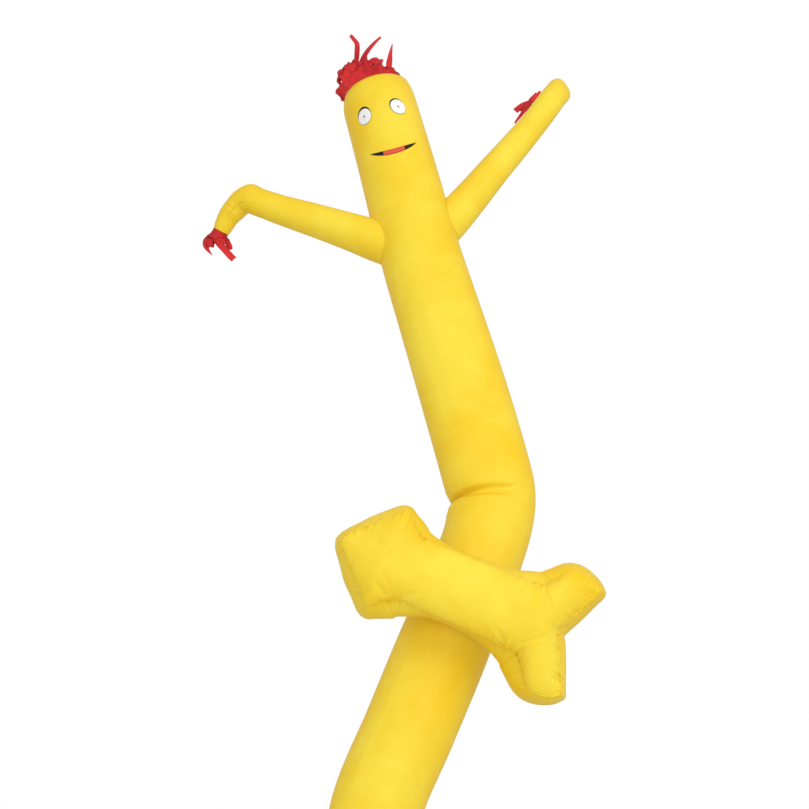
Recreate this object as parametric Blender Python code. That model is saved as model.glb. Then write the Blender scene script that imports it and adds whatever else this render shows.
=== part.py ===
"""An inflatable air dancer: a tall yellow tube of nylon cloth with a face, two arms,
three red fringes and a boxed arrow sewn across its front.

Metres, +Z up. The origin is on the floor, under the middle of the whole figure's box. The face
and the arrow look along -Y, and the dancer's own left and right are not used: left is -X.
"""
import math

import bmesh
import bpy
from mathutils import Matrix, Vector

# Cloth and seams
CLOTH = 0.003
HEM_WALL = 0.006
HEM_HEIGHT = 0.05
SEAM_GAP = 0.0003

# Where the bottom hem's centre stands, so that the figure's box is centred over the origin.
FOOT = (0.15262, 0.03893)

# The tube: its bends from the floor up, at the height of each section's centre.
# x and y are the centre, seen from the foot, side and depth the half widths across X and Y.
TUBE_SIDES = 28
BODY_SECTIONS = (
    # height, x, y, side, depth
    (0.00, 0.000, 0.000, 0.2286, 0.2286),
    (0.35, 0.000, 0.000, 0.2286, 0.2286),
    (0.75, -0.095, 0.012, 0.2286, 0.2286),
    (1.08, -0.215, 0.028, 0.2286, 0.2286),
    (1.35, -0.199, 0.042, 0.2286, 0.2286),
    (1.75, -0.031, 0.060, 0.2340, 0.2230),
    (2.11, 0.121, 0.070, 0.2390, 0.2180),
    (2.45, 0.262, 0.070, 0.2330, 0.2240),
    (2.73, 0.370, 0.070, 0.2300, 0.2270),
    (2.88, 0.403, 0.070, 0.2380, 0.2180),
    (3.00, 0.407, 0.070, 0.2440, 0.2120),
    (3.12, 0.386, 0.070, 0.2460, 0.2100),
    (3.52, 0.287, 0.070, 0.2480, 0.2080),
    (4.00, 0.158, 0.070, 0.2430, 0.2135),
    (4.45, 0.036, 0.070, 0.2365, 0.2205),
    (5.04, -0.103, 0.070, 0.2286, 0.2286),
    (5.572, -0.235, 0.066, 0.2225, 0.2225),
)
HEAD_TOP = 5.572

# Heights of the rings: a run of even steps up to each limit.
RING_RUNS = (
    # up to, step
    (0.05, 0.050),
    (0.35, 0.150),
    (2.75, 0.150),
    (2.88, 0.043),
    (3.06, 0.018),
    (3.20, 0.047),
    (HEAD_TOP, 0.148),
)

# The two folds where the tube kinks. Angles turn from +X through +Y, so 270 is the front.
KINK_FOLDS = (
    # height at the left, rise to the front, half height, depth, middle angle, half spread
    (2.905, 0.062, 0.026, 0.034, 225.0, 105.0),
    (2.872, 0.070, 0.018, 0.014, 268.0, 52.0),
)

# The arms, from the tube's centre line at the shoulder's height out to the cuff.
LEFT_SHOULDER_HEIGHT = 4.55
RIGHT_SHOULDER_HEIGHT = 4.70
ARM_SIDES = 18
LEFT_ARM = (
    # x, y, z, radius
    (-0.100, -0.005, -0.055, 0.124),
    (-0.248, -0.010, 0.002, 0.121),
    (-0.430, -0.010, 0.072, 0.108),
    (-0.627, -0.005, 0.146, 0.097),
    (-0.800, 0.000, 0.208, 0.088),
    (-0.925, 0.000, 0.257, 0.084),
    (-0.988, 0.010, 0.284, 0.083),
    (-1.038, 0.030, 0.282, 0.077),
    (-1.083, 0.060, 0.256, 0.069),
    (-1.120, 0.090, 0.224, 0.064),
    (-1.149, 0.115, 0.180, 0.058),
    (-1.172, 0.135, 0.142, 0.050),
)
RIGHT_ARM = (
    # x, y, z, radius
    (0.122, 0.004, -0.153, 0.115),
    (0.248, 0.004, 0.003, 0.113),
    (0.374, 0.004, 0.164, 0.103),
    (0.521, 0.004, 0.361, 0.094),
    (0.695, 0.004, 0.587, 0.085),
    (0.794, 0.004, 0.725, 0.082),
    (0.876, 0.020, 0.856, 0.080),
    (0.916, 0.062, 0.934, 0.077),
    (0.909, 0.124, 0.962, 0.070),
    (0.880, 0.184, 0.968, 0.063),
    (0.844, 0.240, 0.966, 0.056),
    (0.810, 0.290, 0.964, 0.050),
)
ARM_RINGS = 16
ARM_TRIM_FROM = 4.0
ARM_TRIM_TO = 5.3
ARM_PORT = 0.6  # the air hole under an arm, as a share of the arm's root
ARM_PORT_RINGS = 3
PORT_SIDES = 12

# The boxed arrow. Its stations run from the tip to the notched tail.
ARROW_HEIGHT = 2.35
ARROW_TIP = (-0.588, -0.440, 0.245)
ARROW_SLOPE = 23.0
ARROW_PITCH = 10.0
ARROW_DEPTH = 0.27
ARROW_CROWN = 0.40  # a panel's swell, as a share of its half width up to the limit
ARROW_CROWN_LIMIT = 0.24
ARROW_TIP_ROWS = 4.0
ARROW_TAIL_ROWS = 5.0
ARROW_CELLS = 8
ARROW_PORT_RADIUS = 0.06
ARROW_PORT_LENGTH = 0.34
ARROW_PORT_FORWARD = 0.24
ARROW_SEAT = 0.0028  # from the tube to the points of the panel that lies on it
ARROW_STATIONS = (
    # along at the middle, along at the edge, half width, swell of the strip at the edge
    (0.000, 0.010, 0.024, 0.050),
    (0.035, 0.045, 0.064, 0.050),
    (0.100, 0.115, 0.138, 0.050),
    (0.165, 0.185, 0.210, 0.048),
    (0.205, 0.222, 0.247, 0.044),
    (0.228, 0.244, 0.257, 0.044),
    (0.252, 0.264, 0.243, 0.052),
    (0.290, 0.296, 0.213, 0.070),
    (0.330, 0.332, 0.180, 0.086),
    (0.375, 0.375, 0.164, 0.084),
    (0.440, 0.440, 0.162, 0.066),
    (0.500, 0.500, 0.163, 0.054),
    (0.560, 0.560, 0.164, 0.050),
    (0.620, 0.620, 0.165, 0.050),
    (0.680, 0.680, 0.166, 0.050),
    (0.740, 0.740, 0.167, 0.050),
    (0.800, 0.800, 0.168, 0.054),
    (0.860, 0.860, 0.170, 0.064),
    (0.920, 0.930, 0.173, 0.078),
    (0.975, 0.996, 0.186, 0.076),
    (1.012, 1.045, 0.242, 0.056),
    (1.045, 1.088, 0.296, 0.048),
    (1.070, 1.126, 0.320, 0.044),
    (1.100, 1.178, 0.316, 0.044),
    (1.128, 1.231, 0.298, 0.044),
    (1.148, 1.268, 0.272, 0.044),
)
STRIP_LEVELS = (-1.0, -0.55, 0.0, 0.55, 1.0)
TAIL_FOLD_FROM = (0.990, 0.170)
TAIL_FOLD_TO = (1.148, 0.000)
TAIL_FOLD_SLOPE = 0.28

# Fringes: a strip parted from the cloth's edge, cut into hanging or standing locks.
BAND_WALL = 0.003
BAND_HIGH_ANGLE = 215.0
HAIR_BAND_BELOW = 0.030
HAIR_BAND_ABOVE = 0.055
HAIR_BAND_SLANT = 0.038
HAIR_SEGMENTS = 36
HAIR_LOCKS = (
    # segment, length, outward lean, sideways lean, pull along x, y and z towards its end
    (1, 0.09, -30.0, 0.0, -0.6, 0.2, -0.6),
    (3, 0.14, -35.0, 8.0, -0.9, -0.3, -0.4),
    (5, 0.17, -25.0, -8.0, 0.0, -0.8, -0.4),
    (7, 0.13, -15.0, 6.0, 0.2, 0.6, -0.8),
    (9, 0.18, -25.0, 0.0, 0.2, -0.8, -0.5),
    (11, 0.12, -10.0, 5.0, 0.3, 0.2, 0.0),
    (13, 0.12, 2.0, 0.0, 0.5, 0.3, -2.6),
    (15, 0.10, 8.0, -5.0, 0.9, 0.0, -2.6),
    (17, 0.09, 12.0, 8.0, 0.9, -0.4, -2.8),
    (19, 0.10, 10.0, 8.0, 0.8, 0.0, -2.6),
    (21, 0.08, 4.0, 26.0, 0.4, 0.0, 0.2),
    (23, 0.23, -3.0, 32.0, -1.5, 0.0, 0.3),
    (24, 0.24, 0.0, 42.0, 0.9, 0.0, 0.0),
    (28, 0.05, -4.0, 30.0, 0.0, 0.0, 0.0),
    (29, 0.17, -4.0, 30.0, -0.1, 0.0, 0.0),
)
HAND_SEGMENTS = 8
HAND_BAND_INSIDE = 0.020
HAND_BAND_OUTSIDE = 0.030
LEFT_HAND_LOCKS = (
    # segment, length, outward lean, sideways lean, pull along x, y and z towards its end
    (0, 0.21, 8.0, 0.0, 2.2, 0.0, -0.7),
    (1, 0.13, 16.0, 0.0, 0.4, 0.0, -1.2),
    (3, 0.12, 4.0, 0.0, 0.4, 0.2, -1.8),
    (5, 0.09, 4.0, 0.0, 0.8, 0.0, -0.6),
    (7, 0.08, 6.0, 0.0, 0.2, -0.2, -1.4),
)
RIGHT_HAND_LOCKS = (
    # segment, length, outward lean, sideways lean, pull along x, y and z towards its end
    (0, 0.12, 6.0, 0.0, -0.3, 0.2, -1.4),
    (2, 0.14, 4.0, 0.0, -0.7, -0.4, -0.7),
    (3, 0.14, 6.0, 0.0, -1.0, -0.5, 0.3),
    (4, 0.09, 14.0, 0.0, 0.4, 0.0, 1.4),
    (6, 0.13, 4.0, 0.0, -0.4, 0.2, -0.8),
    (7, 0.10, 4.0, 0.0, -0.2, 0.2, -1.0),
)
LOCK_STEPS = 4
LOCK_NARROWING = 0.86

# The face, sewn on flat. An angle is round the tube, a height is along its centre line.
PATCH_CLOTH = 0.0015
EYE_HEIGHT = 5.318
LEFT_EYE_ANGLE = 234.6
RIGHT_EYE_ANGLE = 288.5
EYE_BLACK = (0.052, 0.064)
EYE_WHITE = (0.046, 0.053)
EYE_WHITE_DROP = 0.009
PUPIL_RADIUS = 0.007
MOUTH_ANGLE = 264.7
MOUTH_HEIGHT = 5.026
MOUTH_HALF_WIDTH = 0.147
MOUTH_SAG = 0.044
MOUTH_THICKNESS = 0.026
MOUTH_TIP = 0.004
MOUTH_RED_SHARE = 0.44
MOUTH_RED_NARROWING = 0.8
MOUTH_CELLS = 16

YELLOW = (0.93, 0.66, 0.02)
RED = (0.80, 0.03, 0.02)
BLACK = (0.02, 0.02, 0.02)
WHITE = (0.90, 0.90, 0.88)
GREY = (0.35, 0.35, 0.36)


def clear_scene():
    for obj in list(bpy.data.objects):
        bpy.data.objects.remove(obj)


def cloth_material(name, colour):
    material = bpy.data.materials.new(name)
    material.use_nodes = True
    shader = material.node_tree.nodes["Principled BSDF"]
    shader.inputs["Base Color"].default_value = (*colour, 1.0)
    shader.inputs["Roughness"].default_value = 0.55
    shader.inputs["Metallic"].default_value = 0.0
    return material


def add_object(name, mesh, collection, material=None, parent=None):
    obj = bpy.data.objects.new(name, mesh)
    collection.objects.link(obj)
    if material is not None:
        mesh.materials.append(material)
        mesh.shade_smooth()
        mesh.set_sharp_from_angle(angle=math.radians(40.0))
    if parent is not None:
        obj.parent = parent
    return obj


def mesh_from(bm, name):
    bmesh.ops.recalc_face_normals(bm, faces=bm.faces)
    mesh = bpy.data.meshes.new(name)
    bm.to_mesh(mesh)
    bm.free()
    return mesh


def loft(rings, name, closed=False):
    """Bridge each ring of points to the next. A closed loft joins the last to the first."""
    bm = bmesh.new()
    loops = [[bm.verts.new(point) for point in ring] for ring in rings]
    count = len(loops[0])
    pairs = list(zip(loops, loops[1:]))
    if closed:
        pairs.append((loops[-1], loops[0]))
    for lower, upper in pairs:
        for i in range(count):
            j = (i + 1) % count
            bm.faces.new((lower[i], lower[j], upper[j], upper[i]))
    if not closed:
        bm.faces.new(loops[0])
        bm.faces.new(loops[-1])
    return mesh_from(bm, name)


def read_table(table, position):
    """The other columns of a table at a position in its first, on a smooth curve."""
    last = len(table) - 2
    i = 0
    while i < last and table[i + 1][0] < position:
        i += 1
    start, end = table[i], table[i + 1]
    before, after = table[max(i - 1, 0)], table[min(i + 2, last + 1)]
    span = end[0] - start[0]
    t = min(max((position - start[0]) / span, 0.0), 1.0)
    values = []
    for column in range(1, len(start)):
        slope_in = (end[column] - before[column]) / (end[0] - before[0]) * span
        slope_out = (after[column] - start[column]) / (after[0] - start[0]) * span
        values.append(
            start[column] * (2 * t**3 - 3 * t**2 + 1)
            + slope_in * (t**3 - 2 * t**2 + t)
            + end[column] * (3 * t**2 - 2 * t**3)
            + slope_out * (t**3 - t**2)
        )
    return values


def body_centre(height):
    x, y, _, _ = read_table(BODY_SECTIONS, height)
    return Vector((FOOT[0] + x, FOOT[1] + y, height))


def body_axes(height):
    """The tube's direction and the two directions across it, near +X and +Y."""
    step = 0.01
    low = max(height - step, 0.0)
    high = min(height + step, HEAD_TOP)
    along = (body_centre(high) - body_centre(low)).normalized()
    if height < HEM_HEIGHT + step:
        along = Vector((0.0, 0.0, 1.0))
    side = Vector((0.0, 1.0, 0.0)).cross(along).normalized()
    return along, side, along.cross(side)


def kink_depth(height, angle):
    """How far the cloth is folded in at the kink, at an angle in degrees."""
    depth = 0.0
    for left_height, rise, half_height, fold, middle, spread in KINK_FOLDS:
        turn = abs((angle - middle + 180.0) % 360.0 - 180.0)
        if turn < spread:
            fade = math.cos(math.radians(90.0 * turn / spread)) ** 0.7
            centre = left_height + rise * (angle - 180.0) / 90.0
            depth += fold * fade * math.exp(-(((height - centre) / half_height) ** 2))
    return depth


def body_point(height, angle, outward=0.0):
    """A point of the tube's outside, or that far outside it."""
    _, _, half_side, half_depth = read_table(BODY_SECTIONS, height)
    _, side, back = body_axes(height)
    turn = math.radians(angle)
    inward = kink_depth(height, angle % 360.0) - outward
    return (
        body_centre(height)
        + side * (half_side - inward) * math.cos(turn)
        + back * (half_depth - inward) * math.sin(turn)
    )


def body_ring(height, outward=0.0):
    step = 360.0 / TUBE_SIDES
    return [body_point(height, step * i, outward) for i in range(TUBE_SIDES)]


def ring_heights():
    heights = [0.0]
    for limit, step in RING_RUNS:
        start = heights[-1]
        count = max(1, round((limit - start) / step))
        heights += [start + (limit - start) * (i + 1) / count for i in range(count)]
    return heights


def sweep_axes(points):
    """Axes across a bent line of points, carried along it without a twist."""
    along = (points[1] - points[0]).normalized()
    across = along.orthogonal().normalized()
    axes = []
    for i, _ in enumerate(points):
        before = points[max(i - 1, 0)]
        after = points[min(i + 1, len(points) - 1)]
        turned = (after - before).normalized()
        across = along.rotation_difference(turned) @ across
        along = turned
        axes.append((across.copy(), along.cross(across)))
    return axes


def arm_rings(rows, shoulder, inward, sides=ARM_SIDES, share=1.0):
    points = [shoulder + Vector(row[:3]) for row in rows]
    rings = []
    for row, point, (across, over) in zip(rows, points, sweep_axes(points)):
        radius = (row[3] - inward) * share
        turns = [math.tau * i / sides for i in range(sides)]
        rings.append(
            [point + radius * (across * math.cos(a) + over * math.sin(a)) for a in turns]
        )
    return rings


def smooth_rows(rows, count):
    """The rows resampled at even steps of a smooth curve through them."""
    table = [(i, *row) for i, row in enumerate(rows)]
    last = len(rows) - 1
    return [tuple(read_table(table, last * i / count)) for i in range(count + 1)]


def cut(obj, cutter, operation="DIFFERENCE"):
    modifier = obj.modifiers.new(cutter.name, "BOOLEAN")
    modifier.object = cutter
    modifier.operation = operation
    modifier.solver = "EXACT"


def as_cutter(obj):
    obj.hide_render = True
    obj.display_type = "WIRE"
    return obj


def arrow_point(u, w, depth):
    """A point of the arrow: along it, across it, and back through it from its middle."""
    from_x, from_w = TAIL_FOLD_FROM
    fold = Vector((TAIL_FOLD_TO[0] - from_x, TAIL_FOLD_TO[1] - from_w)).normalized()
    beyond = (u - from_x) * -fold.y + (w - from_w) * fold.x
    back = depth + TAIL_FOLD_SLOPE * max(beyond, 0.0)
    turn = Matrix.Rotation(math.radians(ARROW_PITCH), 4, "X")
    turn = turn @ Matrix.Rotation(math.radians(ARROW_SLOPE), 4, "Y")
    return body_centre(ARROW_HEIGHT) + Vector(ARROW_TIP) + turn @ Vector((u, back, w))


def arrow_station(row, t):
    """A place in the arrow's plane, at t from -1 to 1 across a station."""
    middle, edge, half, _ = ARROW_STATIONS[row]
    return Vector((middle + (edge - middle) * abs(t), half * t))


def arrow_outline():
    """The seam line round a panel, from the tip along the top and back along the bottom,
    as the row and t of each place."""
    last = len(ARROW_STATIONS) - 1
    rows = range(last + 1)
    steps = [2.0 * i / ARROW_CELLS - 1.0 for i in range(1, ARROW_CELLS)]
    top = [(row, 1.0) for row in rows]
    tail = [(last, t) for t in reversed(steps)]
    bottom = [(row, -1.0) for row in reversed(rows)]
    tip = [(0, t) for t in steps]
    return top + tail + bottom + tip


def arrow_crown(row, t):
    """How far a panel swells out of the plane of its seam."""
    half = min(ARROW_STATIONS[row][2], ARROW_CROWN_LIMIT)
    last = len(ARROW_STATIONS) - 1
    from_ends = min(row / ARROW_TIP_ROWS, (last - row) / ARROW_TAIL_ROWS, 1.0)
    across = max(1.0 - t * t, 0.0) ** 0.6
    return ARROW_CROWN * half * across * math.sin(from_ends * math.pi / 2) ** 0.8


def clear_of_tube(point, gap):
    """Move a point forward until it lies in front of the tube."""
    centre = body_centre(point.z)
    _, _, half_side, half_depth = read_table(BODY_SECTIONS, point.z)
    lean = body_axes(point.z)[1].x
    share = (point.x - centre.x) * lean / (half_side + gap)
    if abs(share) < 1.0:
        front = centre.y - (half_depth + gap) * math.sqrt(1.0 - share * share)
        point.y = min(point.y, front)
    return point


def arrow_panel(name, side):
    """A crowned panel, side -1 for the front and 1 for the back, as one closed sheet."""
    rows = len(ARROW_STATIONS)
    bm = bmesh.new()
    bmesh.ops.create_grid(bm, x_segments=rows - 1, y_segments=ARROW_CELLS, size=1.0)
    seam = side * ARROW_DEPTH / 2
    for vert in bm.verts:
        row = round((vert.co.x + 1.0) / 2.0 * (rows - 1))
        t = vert.co.y
        u, w = arrow_station(row, t)
        vert.co = arrow_point(u, w, seam + side * arrow_crown(row, t))
        if side > 0:
            vert.co = clear_of_tube(vert.co, ARROW_SEAT)
    sheet = list(bm.faces)
    thick = bmesh.ops.extrude_face_region(bm, geom=sheet, use_keep_orig=True)
    moved = [item for item in thick["geom"] if isinstance(item, bmesh.types.BMVert)]
    inward = arrow_point(0.0, 0.0, -side * CLOTH) - arrow_point(0.0, 0.0, 0.0)
    bmesh.ops.translate(bm, vec=inward, verts=moved)
    return mesh_from(bm, name)


def arrow_gusset(name):
    """The strip that joins the panels all the way round, swollen outward."""
    places = arrow_outline()
    outline = [arrow_station(row, t) for row, t in places]
    seams = []
    for i, (row, _) in enumerate(places):
        run = outline[(i + 1) % len(outline)] - outline[i - 1]
        outward = Vector((-run.y, run.x)).normalized()
        seams.append((outline[i], outward, ARROW_STATIONS[row][3]))
    edge = ARROW_DEPTH / 2 - CLOTH - SEAM_GAP
    rings = []
    for inset, levels in ((0.0, STRIP_LEVELS), (CLOTH, tuple(reversed(STRIP_LEVELS)))):
        for level in levels:
            round_out = 1.0 - level * level
            ring = [point + outward * (swell * round_out - inset) for point, outward, swell in seams]
            rings.append([arrow_point(p.x, p.y, level * edge) for p in ring])
    return loft(rings, name, closed=True)


def fringe(name, ring_at, segments, locks, below, above, slant=0.0):
    """A band with locks drawn out of its upper edge. ring_at gives the band's circle at
    a distance along the tube: its centre and its axes along, across and over, and radius.
    The upper edge stands above the cloth's by above, give or take the slant."""
    bm = bmesh.new()
    turns = [math.tau * i / segments for i in range(segments)]
    low = [-below] * segments
    high = [above + slant * math.cos(turn - math.radians(BAND_HIGH_ANGLE)) for turn in turns]
    loops = []
    for edge, inset in ((low, 0.0), (high, 0.0), (high, BAND_WALL), (low, BAND_WALL)):
        loop = []
        for distance, turn in zip(edge, turns):
            centre, _, across, over, radius = ring_at(distance)
            outward = across * math.cos(turn) + over * math.sin(turn)
            loop.append(bm.verts.new(centre + outward * (radius - inset)))
        loops.append(loop)
    tops = []
    for k, lower in enumerate(loops):
        upper = loops[(k + 1) % len(loops)]
        for i in range(segments):
            j = (i + 1) % segments
            face = bm.faces.new((lower[i], lower[j], upper[j], upper[i]))
            if k == 1:
                tops.append(face)
    _, along, across, over, _ = ring_at(above)
    for segment, length, lean, sideways, *pull in locks:
        turn = math.tau * (segment + 0.5) / segments
        outward = across * math.cos(turn) + over * math.sin(turn)
        tangent = along.cross(outward)
        tilt = math.radians(lean)
        start = along * math.cos(tilt) + outward * math.sin(tilt)
        start += tangent * math.tan(math.radians(sideways))
        face = tops[segment]
        for step in range(LOCK_STEPS):
            way = (start + Vector(pull) * (step / (LOCK_STEPS - 1)) ** 2).normalized()
            face = bmesh.ops.extrude_discrete_faces(bm, faces=[face])["faces"][0]
            middle = face.calc_center_median()
            for vert in face.verts:
                narrower = tangent * (vert.co - middle).dot(tangent) * (1.0 - LOCK_NARROWING)
                vert.co += way * (length / LOCK_STEPS) - narrower
    return mesh_from(bm, name)


def hair_ring(distance):
    """The head's top inside edge, and on along the tube's own direction."""
    along, side, back = body_axes(HEAD_TOP)
    _, _, half_side, _ = read_table(BODY_SECTIONS, HEAD_TOP)
    radius = half_side * math.cos(math.pi / TUBE_SIDES) - CLOTH - SEAM_GAP
    return body_centre(HEAD_TOP) + along * distance, along, side, back, radius


def cuff_ring(rows, shoulder):
    """The same for an arm's cuff."""
    points = [shoulder + Vector(row[:3]) for row in rows]
    across, over = sweep_axes(points)[-1]
    along = across.cross(over).normalized()
    radius = rows[-1][3] * math.cos(math.pi / ARM_SIDES) - CLOTH - SEAM_GAP

    def ring_at(distance):
        return points[-1] + along * distance, along, across, over, radius

    return ring_at


def lay_on_tube(bm, name, angle, height, lift):
    """Lay a flat piece on the tube and give it its thickness. The piece is drawn in
    metres across and up from its middle, which goes at an angle and height."""
    _, _, half_side, _ = read_table(BODY_SECTIONS, height)
    degrees = 180.0 / math.pi / half_side
    under = list(bm.verts)
    thick = bmesh.ops.extrude_face_region(bm, geom=list(bm.faces), use_keep_orig=True)
    over = [item for item in thick["geom"] if isinstance(item, bmesh.types.BMVert)]
    for verts, outward in ((under, lift), (over, lift + PATCH_CLOTH)):
        for vert in verts:
            across, up, _ = vert.co
            vert.co = body_point(height + up, angle + across * degrees, outward)
    return mesh_from(bm, name)


def oval_piece(half_width, half_height, drop=0.0, sides=20, rings=3):
    """An eye's oval, as rings round its middle."""
    bm = bmesh.new()
    middle = bm.verts.new((0.0, -drop, 0.0))
    loops = []
    for k in range(1, rings + 1):
        wide, tall = half_width * k / rings, half_height * k / rings
        turns = [math.tau * i / sides for i in range(sides)]
        points = [(wide * math.cos(a), tall * math.sin(a) - drop, 0.0) for a in turns]
        loops.append([bm.verts.new(point) for point in points])
    for i in range(sides):
        j = (i + 1) % sides
        bm.faces.new((middle, loops[0][i], loops[0][j]))
        for inner, outer in zip(loops, loops[1:]):
            bm.faces.new((inner[i], outer[i], outer[j], inner[j]))
    return bm


def mouth_piece(share, narrowing, cells):
    """The middle share of a thin lens bent into a smile."""
    bm = bmesh.new()
    bmesh.ops.create_grid(bm, x_segments=cells, y_segments=1, size=1.0)
    for vert in bm.verts:
        t = vert.co.x * share
        thickness = MOUTH_TIP / 2 + (MOUTH_THICKNESS / 2 - MOUTH_TIP / 2) * (1.0 - t * t)
        up = MOUTH_SAG * t * t + thickness * narrowing * vert.co.y
        vert.co = (MOUTH_HALF_WIDTH * t, up, 0.0)
    return bm


def build_body(parts, cutters, cloth, root):
    heights = ring_heights()
    outer = [body_ring(height) for height in heights]
    inner = []
    for height in reversed(heights):
        wall = HEM_WALL if height < HEM_HEIGHT / 2 else CLOTH
        inner.append(body_ring(height, -wall))
    body = add_object("body_tube", loft(outer + inner, "body_tube", True), parts, cloth, root)

    trimmed = [height for height in heights if ARM_TRIM_FROM < height < ARM_TRIM_TO]
    trim = loft([body_ring(height, SEAM_GAP) for height in trimmed], "arm_trim")
    return body, as_cutter(add_object("arm_trim", trim, cutters))


def build_arm(name, rows, shoulder_height, body, trim, parts, cutters, cloth, root):
    shoulder = body_centre(shoulder_height)
    fine = smooth_rows(rows, ARM_RINGS)
    outer = arm_rings(fine, shoulder, 0.0)
    inner = arm_rings(fine, shoulder, CLOTH)
    mesh = loft(outer + list(reversed(inner)), name, closed=True)
    arm = add_object(name, mesh, parts, cloth, root)
    cut(arm, trim)

    port_rings = arm_rings(fine[:ARM_PORT_RINGS], shoulder, 0.0, PORT_SIDES, ARM_PORT)
    port = loft(port_rings, name + "_port")
    cut(body, as_cutter(add_object(name + "_port", port, cutters)))
    return cuff_ring(fine, shoulder)


def build_arrow(body, parts, cutters, cloth, root):
    add_object("arrow_front", arrow_panel("arrow_front", -1.0), parts, cloth, root)
    add_object("arrow_gusset", arrow_gusset("arrow_gusset"), parts, cloth, root)
    back = add_object("arrow_back", arrow_panel("arrow_back", 1.0), parts, cloth, root)

    bpy.ops.mesh.primitive_cylinder_add(
        vertices=PORT_SIDES,
        radius=ARROW_PORT_RADIUS,
        depth=ARROW_PORT_LENGTH,
        location=body_centre(ARROW_HEIGHT) + Vector((0.0, -ARROW_PORT_FORWARD, 0.0)),
        rotation=(math.pi / 2, 0.0, 0.0),
    )
    port = bpy.context.object
    port.name = "arrow_port"
    for collection in list(port.users_collection):
        collection.objects.unlink(port)
    cutters.objects.link(as_cutter(port))
    cut(back, port)
    cut(body, port)


def build_face(parts, root, materials):
    black, white, grey, red = materials
    layer = PATCH_CLOTH + SEAM_GAP
    for name, angle in (("left_eye", LEFT_EYE_ANGLE), ("right_eye", RIGHT_EYE_ANGLE)):
        pupil = oval_piece(PUPIL_RADIUS, PUPIL_RADIUS, EYE_WHITE_DROP, sides=12, rings=1)
        pieces = (
            ("black", oval_piece(*EYE_BLACK), black),
            ("white", oval_piece(*EYE_WHITE, EYE_WHITE_DROP), white),
            ("pupil", pupil, grey),
        )
        for level, (kind, flat, material) in enumerate(pieces):
            piece = f"{name}_{kind}"
            mesh = lay_on_tube(flat, piece, angle, EYE_HEIGHT, SEAM_GAP + layer * level)
            add_object(piece, mesh, parts, material, root)
    red_piece = mouth_piece(MOUTH_RED_SHARE, MOUTH_RED_NARROWING, MOUTH_CELLS // 2)
    mouths = (
        ("mouth_black", mouth_piece(1.0, 1.0, MOUTH_CELLS), black),
        ("mouth_red", red_piece, red),
    )
    for level, (piece, flat, material) in enumerate(mouths):
        mesh = lay_on_tube(flat, piece, MOUTH_ANGLE, MOUTH_HEIGHT, SEAM_GAP + layer * level)
        add_object(piece, mesh, parts, material, root)


def build():
    clear_scene()
    scene = bpy.context.scene
    parts = bpy.data.collections.new("air_dancer")
    cutters = bpy.data.collections.new("cutters")
    scene.collection.children.link(parts)
    scene.collection.children.link(cutters)
    root = bpy.data.objects.new("air_dancer_root", None)
    parts.objects.link(root)

    yellow = cloth_material("yellow_nylon", YELLOW)
    red = cloth_material("red_nylon", RED)
    face = [cloth_material("black_nylon", BLACK), cloth_material("white_nylon", WHITE)]
    face += [cloth_material("grey_nylon", GREY), red]

    body, trim = build_body(parts, cutters, yellow, root)
    shared = (body, trim, parts, cutters, yellow, root)
    left_cuff = build_arm("left_arm", LEFT_ARM, LEFT_SHOULDER_HEIGHT, *shared)
    right_cuff = build_arm("right_arm", RIGHT_ARM, RIGHT_SHOULDER_HEIGHT, *shared)
    build_arrow(body, parts, cutters, yellow, root)

    band = (HAIR_BAND_BELOW, HAIR_BAND_ABOVE, HAIR_BAND_SLANT)
    hair = fringe("hair_fringe", hair_ring, HAIR_SEGMENTS, HAIR_LOCKS, *band)
    add_object("hair_fringe", hair, parts, red, root)
    hands = (
        ("left_hand_fringe", left_cuff, LEFT_HAND_LOCKS),
        ("right_hand_fringe", right_cuff, RIGHT_HAND_LOCKS),
    )
    for name, cuff, locks in hands:
        hand = (cuff, HAND_SEGMENTS, locks, HAND_BAND_INSIDE, HAND_BAND_OUTSIDE)
        add_object(name, fringe(name, *hand), parts, red, root)
    build_face(parts, root, face)


build()
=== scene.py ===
# %% [markdown]
# An inflatable air dancer: a tall yellow nylon tube that a fan blows upright. This lesson
# dresses its plain solids in cloth. The first cell loads those solids as a fixed frame.
# Every piece below is made at its real size, in metres, in the same frame as the solids.

# %% Load the frame
import math

import bmesh
import bpy
import numpy as np
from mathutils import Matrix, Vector, noise


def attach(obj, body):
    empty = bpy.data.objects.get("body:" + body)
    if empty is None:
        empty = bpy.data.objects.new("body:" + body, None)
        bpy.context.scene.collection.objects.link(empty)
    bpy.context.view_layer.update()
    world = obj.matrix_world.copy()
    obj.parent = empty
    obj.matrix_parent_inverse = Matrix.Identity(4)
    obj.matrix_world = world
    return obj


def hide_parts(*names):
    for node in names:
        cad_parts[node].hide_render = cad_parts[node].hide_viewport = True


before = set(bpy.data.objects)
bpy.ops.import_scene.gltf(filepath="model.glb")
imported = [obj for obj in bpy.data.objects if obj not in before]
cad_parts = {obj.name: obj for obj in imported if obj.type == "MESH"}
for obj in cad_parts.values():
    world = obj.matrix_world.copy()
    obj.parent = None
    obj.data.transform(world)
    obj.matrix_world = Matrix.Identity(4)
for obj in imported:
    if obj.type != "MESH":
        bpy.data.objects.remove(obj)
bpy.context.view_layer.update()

# %% [markdown]
# The photograph is taken from near the ground, looking up. The tube gets narrower towards
# the head, which fixes how far off the camera stands, and its pitch keeps the low and the
# high rings of the tube as round as they look there.

# %% Camera
FOOT = (0.15262, 0.03893)  # the hem's centre on the floor
SENSOR = 36.0
FOCAL_SHARE = 1333.0 / 809.0
CAMERA_PLACE = (FOOT[0] - 0.06, FOOT[1] - 6.82, 0.7327)
CAMERA_PITCH = 22.0

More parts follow.
